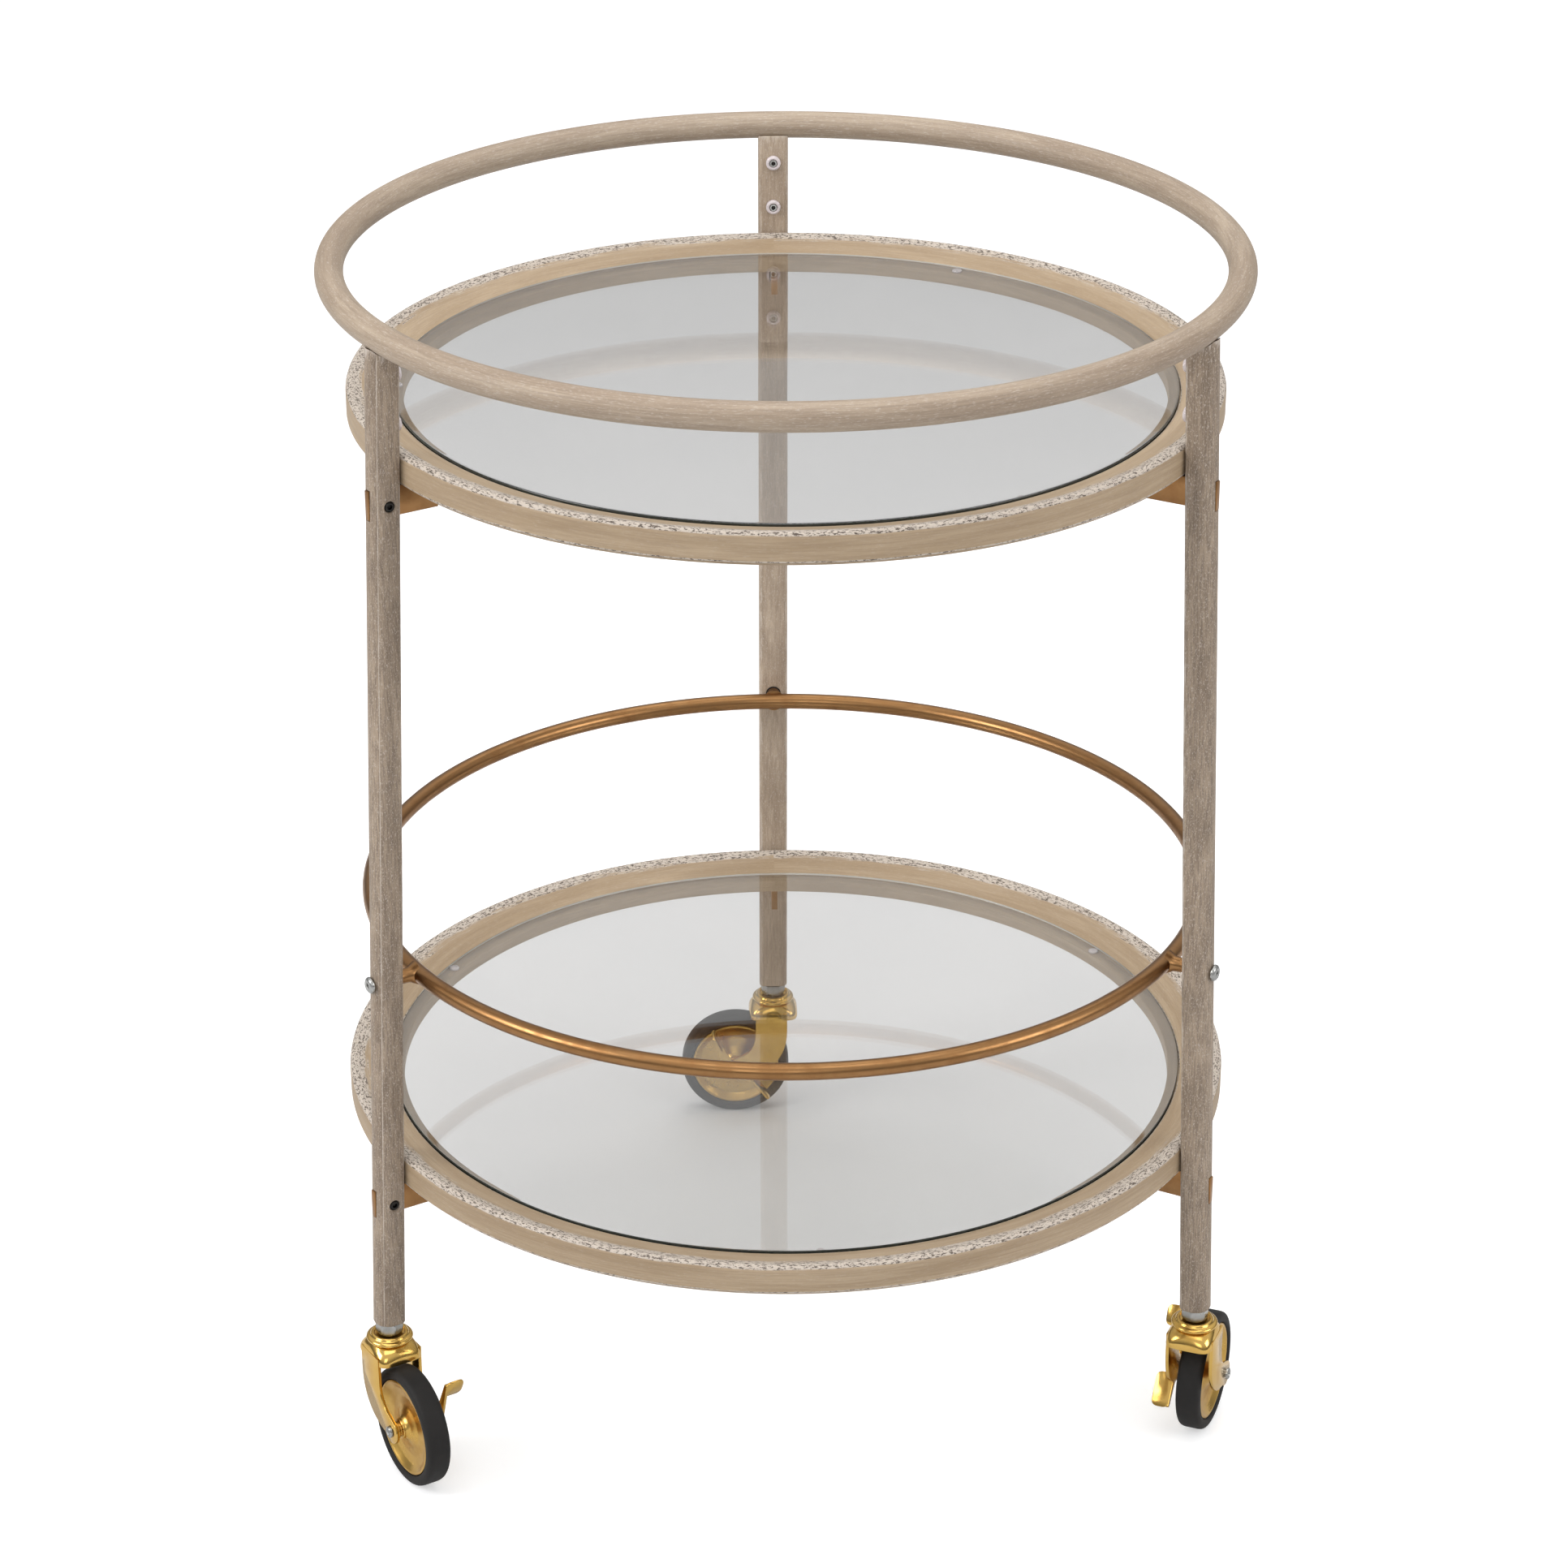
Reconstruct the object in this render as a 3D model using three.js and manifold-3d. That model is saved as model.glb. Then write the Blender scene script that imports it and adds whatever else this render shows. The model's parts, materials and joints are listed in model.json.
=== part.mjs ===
// A round two-tier bar cart on three braked swivel casters.
// Millimetres, +Z up. The origin is on the floor, under the middle of the rings.
// Each leg has a frame of its own: +X points outwards, +Y along the rim, +Z up.

import * as THREE from 'three';
import { mergeVertices } from 'three/addons/utils/BufferGeometryUtils.js';
import Module from 'manifold-3d';

const wasm = await Module();
wasm.setup();

// ---------------------------------------------------------------- driving sizes

// Clearances
const TOUCH_GAP = 0.3;          // between pieces that rest on or are cut by each other
const HOLE_CLEARANCE = 0.3;     // radial, round a screw, a bolt or an axle
const LEG_TO_RIM_CLEARANCE = 0.23;  // where the leaning leg comes nearest to a rim
const PROUD = 0.6;              // how far a bracket's end stands out of the leg

// Top rail, a bent round of wood
const RAIL_OUTSET = 1.2;        // from the legs' middle to the middle of the round
const RAIL_HEIGHT = 827;
const RAIL_ROUND = 10;          // radius of the round

// Trays: a bent rim with a rebate that holds a round glass
const UPPER_RIM_RADIUS = 293;
const UPPER_RIM_TOP = 749;
const LOWER_RIM_RADIUS = 311;
const LOWER_RIM_TOP = 240.2;
const RIM_HEIGHT = 22.3;
const RIM_FACE_WIDTH = 30;      // from the outer wall to the rebate
const RIM_FACE_FALL = 7.7;      // the top face falls by this towards the glass
const RIM_BEAD = 4;             // rounding of the outer top edge
const RIM_CHAMFER = 3;          // on the outer bottom edge
const LEDGE_WIDTH = 8;
const GLASS_THICKNESS = 5;
const GLASS_SIDE_GAP = 0.6;
const GLASS_PROUD = 1.5;        // the glass stands this far above the rim's inner lip
const BUMPER_RADIUS = 3.5;
const BUMPER_THICKNESS = 1.5;
const UPPER_BUMPER_TURNS = [60, 180, 303];
const LOWER_BUMPER_TURNS = [32, 151, 273];

// Gallery ring, a bent metal rod on three standoffs
const STANDOFF_LENGTH = 15;     // from the middle of the rod to the standoff's end
const GALLERY_HEIGHT = 375;
const GALLERY_ROD = 5.8;
const STANDOFF_RADIUS = 5;

// Legs: a flat inner face and a half-round outer side
const LEG_TURNS = { rear: 90, left: 210, right: 330 };
const LEG_WIDTH = 21.5;
const LEG_INNER_DEPTH = 8.3;    // from the middle of the half round to the inner face
const LEG_CORNER = 3.5;
const WHEEL_TO_LEG = 27;        // from the top of a tyre to the legs' lower ends
const LEG_TOP_BELOW_RAIL = 6;   // the lips of the saddle cut end this far below the rail's middle

// Flat brackets under the rims, locked by a screw across the leg
const BRACKET_HEIGHT = 20;
const BRACKET_THICKNESS = 4.5;
const BRACKET_SET_BACK = 9;     // from the rim's opening to the bracket's inner end
const LOCK_SCREW_RADIUS = 3.5;
const LOCK_SCREW_RECESS = 0.4;
const HEX_SOCKET_RADIUS = 1.9;
const HEX_SOCKET_DEPTH = 2.2;

// Bolts
const GALLERY_BOLT_HEAD_RADIUS = 5.75;
const GALLERY_BOLT_HEAD_HEIGHT = 3;
const GALLERY_BOLT_SHANK = 3;
const GALLERY_BOLT_GRIP = 7;    // how deep the shank goes into the standoff
const POST_BOLT_DROPS = { high: 25.5, low: 59 };  // below the rail's middle
const POST_BOLT_HEAD_RADIUS = 3.2;
const POST_BOLT_SHANK = 2.5;
const POST_BOLT_GRIP = 13;
const COLLAR_RADIUS = 5.25;
const COLLAR_THICKNESS = 3.4;
const COLLAR_FLOOR = 1;         // thickness of the collar under the bolt's head

// Casters. A caster's frame has +X along its trail, from the swivel to the axle.
const CASTER_TURNS = { rear: 180, left: -60, right: 67 };
const TRAIL = 30;
const WHEEL_RADIUS = 42.5;
const TYRE_WIDTH = 18;
const TYRE_DEPTH = 8;
const TYRE_SHOULDER = 3;
const HUB_WIDTH = 15.5;
const HUB_BOSS_RADIUS = 7;
const HUB_BOSS_PLAY = 0.7;      // between the boss and each fork plate
const HUB_RIM_DEPTH = 3.5;      // width of the rolled edge, along the radius
const HUB_WEB = 5;
const AXLE_RADIUS = 3;
const AXLE_HEAD_RADIUS = 4.2;
const AXLE_HEAD_HEIGHT = 1.8;
const NUT_ACROSS_CORNERS = 19;
const NUT_HEIGHT = 8;
const STEM_RADIUS = 4;
const STEM_LENGTH = 32;
const CAP_RADIUS = 15;
const CAP_HEIGHT = 6;
const FORK_TOP_RADIUS = 19;
const FORK_TOP_HEIGHT = 12;
const FORK_WIDTH = 34;
const FORK_PLATE = 2.5;
const FORK_LEADING = 11;        // from the swivel to the plate's leading edge
const FORK_TRAILING = 14;
const FORK_FOOT_RADIUS = 9;
const LEVER_THICKNESS = 2;
const PEDAL_WIDTH = 13;         // how far each fold stands out from the fork
const LEAF_WIDTH = 15;
const FLANGE_WIDTH = 4;
const CROWN_WALL = 4.5;
const CROWN_ROOF = 4;

// How finely round things are divided
const RING_STEPS = 60;
const ROUND_SIDES = 12;

// ---------------------------------------------------------------- worked-out sizes

const radians = (turn) => (turn * Math.PI) / 180;
const LEG_HALF = LEG_WIDTH / 2;
const UPPER_MIDDLE = UPPER_RIM_TOP - RIM_HEIGHT / 2;
const LOWER_MIDDLE = LOWER_RIM_TOP - RIM_HEIGHT / 2;
const LEG_LEAN = (LOWER_RIM_RADIUS - UPPER_RIM_RADIUS) / (UPPER_MIDDLE - LOWER_MIDDLE);
const LEG_TO_RIM_GAP = LEG_TO_RIM_CLEARANCE + Math.abs(LEG_LEAN) * RIM_HEIGHT / 2;
const LEG_TOP = RAIL_HEIGHT - LEG_TOP_BELOW_RAIL;
const LEG_BOTTOM = 2 * WHEEL_RADIUS + WHEEL_TO_LEG;
const HUB_BOSS_WIDTH = FORK_WIDTH - 2 * (FORK_PLATE + HUB_BOSS_PLAY);
const REBATE_DEPTH = GLASS_THICKNESS - GLASS_PROUD + BUMPER_THICKNESS + 2 * TOUCH_GAP;
const AXLE_HEIGHT = WHEEL_RADIUS;
const HUB_RADIUS = WHEEL_RADIUS - TYRE_DEPTH;
const CAP_BOTTOM = LEG_BOTTOM - NUT_HEIGHT - CAP_HEIGHT;
const FORK_TOP = CAP_BOTTOM - TOUCH_GAP;
const FORK_BOTTOM = FORK_TOP - FORK_TOP_HEIGHT;
const LEVER_FACE = FORK_WIDTH / 2 + TOUCH_GAP;
const LEVER_OUTSIDE = LEVER_FACE + LEVER_THICKNESS;

// Radius of a leg's inner face, and of the middle of its half round, at a height
const legInner = (height) =>
  UPPER_RIM_RADIUS + LEG_TO_RIM_GAP + (UPPER_MIDDLE - height) * LEG_LEAN;
const legMiddle = (height) => legInner(height) + LEG_INNER_DEPTH;
const legOuter = (height) => legMiddle(height) + LEG_HALF;

// The rail sits on the legs and the gallery hangs between them, so both follow the lean
const RAIL_RADIUS = legMiddle(RAIL_HEIGHT) + RAIL_OUTSET;
const standoffEnd = legInner(GALLERY_HEIGHT) - TOUCH_GAP - STANDOFF_RADIUS * Math.abs(LEG_LEAN);
const GALLERY_RADIUS = standoffEnd - STANDOFF_LENGTH;

// ---------------------------------------------------------------- finishes

const finish = (color, roughness, metalness) => ({ color, roughness, metalness });
const LIMED_WOOD = finish(0xa5927c, 0.65, 0);
const BENT_WOOD = finish(0xc3a988, 0.55, 0);
const CLEAR_GLASS = finish(0xcdd6d2, 0.05, 0);
const COPPER = finish(0xa8764a, 0.35, 0.9);
const BRASS = finish(0xd8b357, 0.18, 1);
const ZINC = finish(0xb4b8ba, 0.35, 0.9);
const BLACK_STEEL = finish(0x1c1b1a, 0.45, 0.7);
const CLEAR_PLASTIC = finish(0xe2dfe0, 0.3, 0);
const RUBBER = finish(0x2b2827, 0.75, 0);

// ---------------------------------------------------------------- solids

// Makes a closed solid of a geometry, with its faces turned outwards
function solid(geometry) {
  const bare = geometry.clone();
  for (const name of ['normal', 'uv']) bare.deleteAttribute(name);
  const merged = mergeVertices(bare, 1e-4);
  const place = merged.attributes.position;
  const corners = merged.index.array;
  const triangles = [];
  const [a, b, c] = [new THREE.Vector3(), new THREE.Vector3(), new THREE.Vector3()];
  let volume = 0;
  for (let i = 0; i < corners.length; i += 3) {
    const [p, q, r] = [corners[i], corners[i + 1], corners[i + 2]];
    if (p === q || q === r || r === p) continue;
    triangles.push(p, q, r);
    a.fromBufferAttribute(place, p);
    b.fromBufferAttribute(place, q);
    c.fromBufferAttribute(place, r);
    volume += a.dot(b.cross(c));
  }
  if (volume < 0) triangles.reverse();
  return new wasm.Manifold(new wasm.Mesh({
    numProp: 3,
    vertProperties: new Float32Array(place.array),
    triVerts: new Uint32Array(triangles),
  }));
}

const points = (pairs) => pairs.map(([x, y]) => new THREE.Vector2(x, y));
const moved = (geometry, x, y, z) => geometry.translate(x, y, z);

// A profile of [radius, height] pairs turned round the Z axis
function turned(profile, steps = RING_STEPS) {
  return new THREE.LatheGeometry(points(profile), steps).rotateX(Math.PI / 2);
}

// A ring of round section, with its middle at a radius and a height
function roundRing(radius, height, round, sides) {
  const profile = [];
  for (let i = 0; i <= sides; i++) {
    const around = ((i % sides) / sides) * 2 * Math.PI;
    profile.push([radius + round * Math.cos(around), height + round * Math.sin(around)]);
  }
  return turned(profile);
}

// A round bar along Z that starts at a height
function roundBar(radius, bottom, top, sides = ROUND_SIDES) {
  return moved(
    new THREE.CylinderGeometry(radius, radius, top - bottom, sides).rotateX(Math.PI / 2),
    0, 0, (top + bottom) / 2,
  );
}

// A round bar along X, from one place to another, at a height
function crossBar(radius, start, end, height, sides = ROUND_SIDES) {
  return moved(roundBar(radius, start, end, sides).rotateY(Math.PI / 2), 0, 0, height);
}

// A flat outline in the XZ plane, drawn out along Y between two faces
function plate(outline, near, far) {
  const shape = new THREE.Shape(points(outline));
  const drawn = new THREE.ExtrudeGeometry(shape, { depth: far - near, bevelEnabled: false });
  return moved(drawn.rotateX(Math.PI / 2), 0, far, 0);
}

function box(x0, x1, y0, y1, z0, z1) {
  return moved(new THREE.BoxGeometry(x1 - x0, y1 - y0, z1 - z0),
    (x0 + x1) / 2, (y0 + y1) / 2, (z0 + z1) / 2);
}

// Points of an arc round a middle, both turns included
function arc(x, y, radius, from, to, steps) {
  return Array.from({ length: steps + 1 }, (_, i) => {
    const turn = radians(from + ((to - from) * i) / steps);
    return [x + radius * Math.cos(turn), y + radius * Math.sin(turn)];
  });
}

const cut = (whole, ...tools) => tools.reduce((left, tool) => left.subtract(solid(tool)), whole);
const joined = (...geometries) =>
  geometries.map(solid).reduce((sum, next) => sum.add(next));

const cart = new THREE.Group();

// Names a solid, gives it a finish and hangs it in a frame
function piece(name, shape, look, frame = cart) {
  const { vertProperties, triVerts } = shape.getMesh();
  const geometry = new THREE.BufferGeometry();
  geometry.setAttribute('position', new THREE.BufferAttribute(vertProperties, 3));
  geometry.setIndex(new THREE.BufferAttribute(triVerts, 1));
  const mesh = new THREE.Mesh(geometry, new THREE.MeshStandardMaterial(look));
  mesh.name = name;
  frame.add(mesh);
}

function frameAt(turn, parent = cart, x = 0) {
  const frame = new THREE.Group();
  frame.position.x = x;
  frame.rotation.z = radians(turn);
  parent.add(frame);
  return frame;
}

// ---------------------------------------------------------------- rail, trays, gallery

const RAIL_SIDES = 10;
const GALLERY_SIDES = 8;
piece('top_rail', solid(roundRing(RAIL_RADIUS, RAIL_HEIGHT, RAIL_ROUND, RAIL_SIDES)), BENT_WOOD);

function tray(level, radius, top, bumperTurns) {
  const rebate = radius - RIM_FACE_WIDTH;
  const opening = rebate - LEDGE_WIDTH;
  const bottom = top - RIM_HEIGHT;
  const faceEnd = top - RIM_FACE_FALL;
  const ledge = faceEnd - REBATE_DEPTH;
  const rim = [
    [opening, bottom],
    [radius - RIM_CHAMFER, bottom],
    [radius, bottom + RIM_CHAMFER],
    ...arc(radius - RIM_BEAD, top - RIM_BEAD, RIM_BEAD, 0, 90, 2),
    [rebate, faceEnd],
    [rebate, ledge],
    [opening, ledge],
    [opening, bottom],
  ];
  piece(`${level}_rim`, solid(turned(rim)), BENT_WOOD);

  const glassBottom = ledge + BUMPER_THICKNESS + 2 * TOUCH_GAP;
  const glassRadius = rebate - GLASS_SIDE_GAP;
  const glass = [
    [0, glassBottom],
    [glassRadius, glassBottom],
    [glassRadius, glassBottom + GLASS_THICKNESS],
    [0, glassBottom + GLASS_THICKNESS],
  ];
  piece(`${level}_glass`, solid(turned(glass)), CLEAR_GLASS);

  bumperTurns.forEach((turn, i) => {
    const bumper = roundBar(BUMPER_RADIUS, ledge + TOUCH_GAP, ledge + TOUCH_GAP + BUMPER_THICKNESS);
    const frame = frameAt(turn);
    piece(`${level}_bumper_${i + 1}`, solid(moved(bumper, opening + LEDGE_WIDTH / 2, 0, 0)),
      CLEAR_PLASTIC, frame);
  });
  return { opening, bottom };
}

const upperTray = tray('upper', UPPER_RIM_RADIUS, UPPER_RIM_TOP, UPPER_BUMPER_TURNS);
const lowerTray = tray('lower', LOWER_RIM_RADIUS, LOWER_RIM_TOP, LOWER_BUMPER_TURNS);

// The rod and its three standoffs are brazed into one piece, tapped for the bolts
let gallery = solid(roundRing(GALLERY_RADIUS, GALLERY_HEIGHT, GALLERY_ROD, GALLERY_SIDES));
for (const turn of Object.values(LEG_TURNS)) {
  const standoff = crossBar(STANDOFF_RADIUS, GALLERY_RADIUS, standoffEnd, GALLERY_HEIGHT);
  const tapping = crossBar(GALLERY_BOLT_SHANK + HOLE_CLEARANCE,
    standoffEnd - GALLERY_BOLT_GRIP - TOUCH_GAP, standoffEnd + 1, GALLERY_HEIGHT);
  gallery = gallery.add(solid(standoff.rotateZ(radians(turn))));
  gallery = cut(gallery, tapping.rotateZ(radians(turn)));
}
piece('gallery_ring', gallery, COPPER);

// ---------------------------------------------------------------- legs and what they hold

// Brackets pass through the legs under each rim
const bracketTop = (rimBottom) => rimBottom - TOUCH_GAP;
const LEVELS = { upper: upperTray, lower: lowerTray };

function legSection() {
  const inner = -LEG_INNER_DEPTH;
  const side = LEG_HALF - LEG_CORNER;
  return [
    ...arc(0, 0, LEG_HALF, -90, 90, 12),
    ...arc(inner + LEG_CORNER, side, LEG_CORNER, 90, 180, 3),
    ...arc(inner + LEG_CORNER, -side, LEG_CORNER, 180, 270, 3),
  ];
}

function legSolid() {
  const shape = new THREE.Shape(points(legSection()));
  const height = LEG_TOP - LEG_BOTTOM;
  const straight = new THREE.ExtrudeGeometry(shape, { depth: height, bevelEnabled: false });
  // The lean slides each level outwards, so both ends stay level
  const lean = new THREE.Matrix4().makeShear(0, 0, 0, 0, -LEG_LEAN, 0);
  const leg = moved(straight.applyMatrix4(lean), legMiddle(LEG_BOTTOM), 0, LEG_BOTTOM);

  const saddle = roundRing(RAIL_RADIUS, RAIL_HEIGHT, RAIL_ROUND + TOUCH_GAP, RAIL_SIDES);
  const stemHole = moved(
    roundBar(STEM_RADIUS + HOLE_CLEARANCE, LEG_BOTTOM - 1, LEG_BOTTOM + STEM_LENGTH + TOUCH_GAP),
    legMiddle(LEG_BOTTOM), 0, 0);
  const galleryHole = crossBar(GALLERY_BOLT_SHANK + HOLE_CLEARANCE,
    legInner(GALLERY_HEIGHT) - 2, legOuter(GALLERY_HEIGHT) + 2, GALLERY_HEIGHT);
  const bracketCuts = Object.values(LEVELS).flatMap(({ bottom }) => {
    const top = bracketTop(bottom);
    const middle = top - BRACKET_HEIGHT / 2;
    const half = BRACKET_THICKNESS / 2 + TOUCH_GAP;
    const slot = box(legInner(middle) - 3, legOuter(middle) + 3, -half, half,
      top - BRACKET_HEIGHT - TOUCH_GAP, top + TOUCH_GAP);
    const screwHole = moved(
      roundBar(LOCK_SCREW_RADIUS + HOLE_CLEARANCE, 0, LEG_WIDTH).rotateX(-Math.PI / 2),
      legMiddle(middle), 0, middle);
    return [slot, screwHole];
  });
  const postHoles = Object.values(POST_BOLT_DROPS).map((drop) => {
    const height = RAIL_HEIGHT - drop;
    return crossBar(POST_BOLT_SHANK + HOLE_CLEARANCE, legInner(height) - 2,
      legInner(height) + POST_BOLT_GRIP + TOUCH_GAP, height);
  });
  return cut(solid(leg), saddle, stemHole, galleryHole, ...bracketCuts, ...postHoles);
}

function bracket({ opening, bottom }) {
  const top = bracketTop(bottom);
  const end = legOuter(top - BRACKET_HEIGHT / 2) + PROUD;
  const half = BRACKET_THICKNESS / 2;
  return solid(box(opening + BRACKET_SET_BACK, end, -half, half, top - BRACKET_HEIGHT, top));
}

// A grub screw across the leg, hex socket outwards, that bears on the bracket
function lockScrew({ bottom }) {
  const middle = bracketTop(bottom) - BRACKET_HEIGHT / 2;
  const inner = BRACKET_THICKNESS / 2 + TOUCH_GAP;
  const outer = LEG_HALF - LOCK_SCREW_RECESS;
  const screw = solid(roundBar(LOCK_SCREW_RADIUS, inner, outer).rotateX(-Math.PI / 2));
  const socket = roundBar(HEX_SOCKET_RADIUS, outer - HEX_SOCKET_DEPTH, outer + 1, 6);
  return cut(screw, socket.rotateX(-Math.PI / 2)).translate([legMiddle(middle), 0, middle]);
}

function galleryBolt() {
  const face = legOuter(GALLERY_HEIGHT) + TOUCH_GAP + GALLERY_BOLT_HEAD_RADIUS * LEG_LEAN;
  const headTop = face + GALLERY_BOLT_HEAD_HEIGHT;
  const bolt = turned([
    [0, standoffEnd - GALLERY_BOLT_GRIP],
    [GALLERY_BOLT_SHANK, standoffEnd - GALLERY_BOLT_GRIP],
    [GALLERY_BOLT_SHANK, face],
    [GALLERY_BOLT_HEAD_RADIUS, face],
    [GALLERY_BOLT_HEAD_RADIUS, headTop - 1.2],
    [GALLERY_BOLT_HEAD_RADIUS - 1.2, headTop],
    [0, headTop],
  ], ROUND_SIDES).rotateY(Math.PI / 2);
  const socket = crossBar(HEX_SOCKET_RADIUS, headTop - HEX_SOCKET_DEPTH, headTop + 1, 0, 6);
  return cut(solid(bolt), socket).translate([0, 0, GALLERY_HEIGHT]);
}

// The bolt between rail and tray, and the clear collar that its head sits in
function postBolt(height) {
  const face = legInner(height) - TOUCH_GAP - COLLAR_RADIUS * LEG_LEAN;
  const seat = face - COLLAR_FLOOR;
  const outside = face - COLLAR_THICKNESS;
  const shankEnd = legInner(height) + POST_BOLT_GRIP;
  const bolt = turned([
    [0, outside],
    [POST_BOLT_HEAD_RADIUS, outside],
    [POST_BOLT_HEAD_RADIUS, seat - TOUCH_GAP],
    [POST_BOLT_SHANK, seat - TOUCH_GAP],
    [POST_BOLT_SHANK, shankEnd],
    [0, shankEnd],
  ], ROUND_SIDES).rotateY(Math.PI / 2);
  const socket = crossBar(HEX_SOCKET_RADIUS, outside - 1, outside + COLLAR_THICKNESS / 2, 0, 6);
  const wide = POST_BOLT_HEAD_RADIUS + HOLE_CLEARANCE;
  const narrow = POST_BOLT_SHANK + HOLE_CLEARANCE;
  const collar = turned([
    [narrow, face],
    [COLLAR_RADIUS, face],
    [COLLAR_RADIUS, outside + 0.8],
    [COLLAR_RADIUS - 0.8, outside],
    [wide, outside],
    [wide, seat],
    [narrow, seat],
    [narrow, face],
  ], ROUND_SIDES).rotateY(Math.PI / 2);
  return {
    bolt: cut(solid(bolt), socket).translate([0, 0, height]),
    collar: solid(collar).translate([0, 0, height]),
  };
}

// ---------------------------------------------------------------- casters

// The nut, the threaded stem and the swivel cap stay with the leg
function casterStem() {
  const nutTop = LEG_BOTTOM - TOUCH_GAP;
  const nutBottom = nutTop - NUT_HEIGHT;
  const stem = roundBar(STEM_RADIUS, CAP_BOTTOM + 1, LEG_BOTTOM + STEM_LENGTH);
  const nut = roundBar(NUT_ACROSS_CORNERS / 2, nutBottom, nutTop, 6);
  const cap = turned([
    [0, CAP_BOTTOM],
    [CAP_RADIUS - 1, CAP_BOTTOM],
    [CAP_RADIUS, CAP_BOTTOM + 1.5],
    [CAP_RADIUS - 0.8, CAP_BOTTOM + CAP_HEIGHT / 2],
    [CAP_RADIUS - 4, nutBottom + TOUCH_GAP],
    [0, nutBottom + TOUCH_GAP],
  ], 16);
  return joined(cap, nut, stem);
}

// Side view of a fork plate: straight down from the top, then back to the axle
function forkOutline() {
  const shoulder = FORK_BOTTOM + 2;
  const waist = AXLE_HEIGHT + FORK_FOOT_RADIUS + 13;
  return [
    [-FORK_LEADING, shoulder],
    [-FORK_LEADING, waist + 6],
    [-FORK_LEADING + 3.5, waist - 8],
    [-FORK_LEADING + 13, AXLE_HEIGHT],
    ...arc(TRAIL, AXLE_HEIGHT, FORK_FOOT_RADIUS, 220, 420, 8),
    [TRAIL - 8, AXLE_HEIGHT + FORK_FOOT_RADIUS + 3],
    [FORK_TRAILING + 1.5, waist],
    [FORK_TRAILING, waist + 10],
    [FORK_TRAILING, shoulder],
  ];
}

function fork() {
  const crown = turned([
    [0, FORK_TOP - CROWN_ROOF],
    [FORK_TOP_RADIUS - CROWN_WALL, FORK_TOP - CROWN_ROOF],
    [FORK_TOP_RADIUS - CROWN_WALL, FORK_BOTTOM],
    [FORK_TOP_RADIUS, FORK_BOTTOM],
    [FORK_TOP_RADIUS, FORK_TOP - 5],
    [FORK_TOP_RADIUS - 2, FORK_TOP - 1.8],
    [FORK_TOP_RADIUS - 5, FORK_TOP],
    [0, FORK_TOP],
  ], 18);
  const outside = FORK_WIDTH / 2;
  const plates = [[-outside, -outside + FORK_PLATE], [outside - FORK_PLATE, outside]]
    .map(([near, far]) => plate(forkOutline(), near, far));
  return cut(joined(crown, ...plates), axleBar(AXLE_RADIUS + HOLE_CLEARANCE, -outside - 2, outside + 2));
}

// A round bar along the axle, between two places across the wheel
function axleBar(radius, near, far) {
  return moved(roundBar(radius, near, far).rotateX(-Math.PI / 2), TRAIL, 0, AXLE_HEIGHT);
}

// A profile of [radius, place across the wheel] pairs turned round the axle
function onAxle(profile, steps) {
  return moved(turned(profile, steps).rotateX(-Math.PI / 2), TRAIL, 0, AXLE_HEIGHT);
}

function axle() {
  const leverSide = LEVER_OUTSIDE + TOUCH_GAP;
  const plainSide = -FORK_WIDTH / 2 - TOUCH_GAP;
  return solid(onAxle([
    [0, plainSide - AXLE_HEAD_HEIGHT],
    [AXLE_HEAD_RADIUS, plainSide - AXLE_HEAD_HEIGHT],
    [AXLE_HEAD_RADIUS, plainSide],
    [AXLE_RADIUS, plainSide],
    [AXLE_RADIUS, leverSide],
    [AXLE_HEAD_RADIUS, leverSide],
    [AXLE_HEAD_RADIUS, leverSide + AXLE_HEAD_HEIGHT],
    [0, leverSide + AXLE_HEAD_HEIGHT],
  ], ROUND_SIDES));
}

// Two dished discs back to back on one boss, with a rolled edge
function hub() {
  const bore = AXLE_RADIUS + HOLE_CLEARANCE;
  const side = [
    [bore, HUB_BOSS_WIDTH / 2],
    [HUB_BOSS_RADIUS, HUB_BOSS_WIDTH / 2],
    [HUB_BOSS_RADIUS, HUB_WEB / 2 + 3],
    [HUB_RADIUS * 0.5, HUB_WEB / 2],
    [HUB_RADIUS - HUB_RIM_DEPTH - 2, HUB_WEB / 2 + 3.4],
    [HUB_RADIUS - HUB_RIM_DEPTH, HUB_WIDTH / 2],
    [HUB_RADIUS, HUB_WIDTH / 2],
  ];
  const otherSide = side.map(([radius, across]) => [radius, -across]).reverse();
  return solid(onAxle([...side, ...otherSide, side[0]], 24));
}

function tyre() {
  const half = TYRE_WIDTH / 2;
  const inner = HUB_RADIUS + TOUCH_GAP;
  return solid(onAxle([
    [inner, -half + 1],
    ...[-1, 1].flatMap((side) => {
      const corner = [
        [WHEEL_RADIUS - TYRE_SHOULDER, side * half],
        [WHEEL_RADIUS - TYRE_SHOULDER * 0.3, side * (half - TYRE_SHOULDER * 0.3)],
        [WHEEL_RADIUS, side * (half - TYRE_SHOULDER)],
      ];
      return side < 0 ? corner : corner.reverse();
    }),
    [inner, half - 1],
    [inner, -half + 1],
  ], 30));
}

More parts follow.
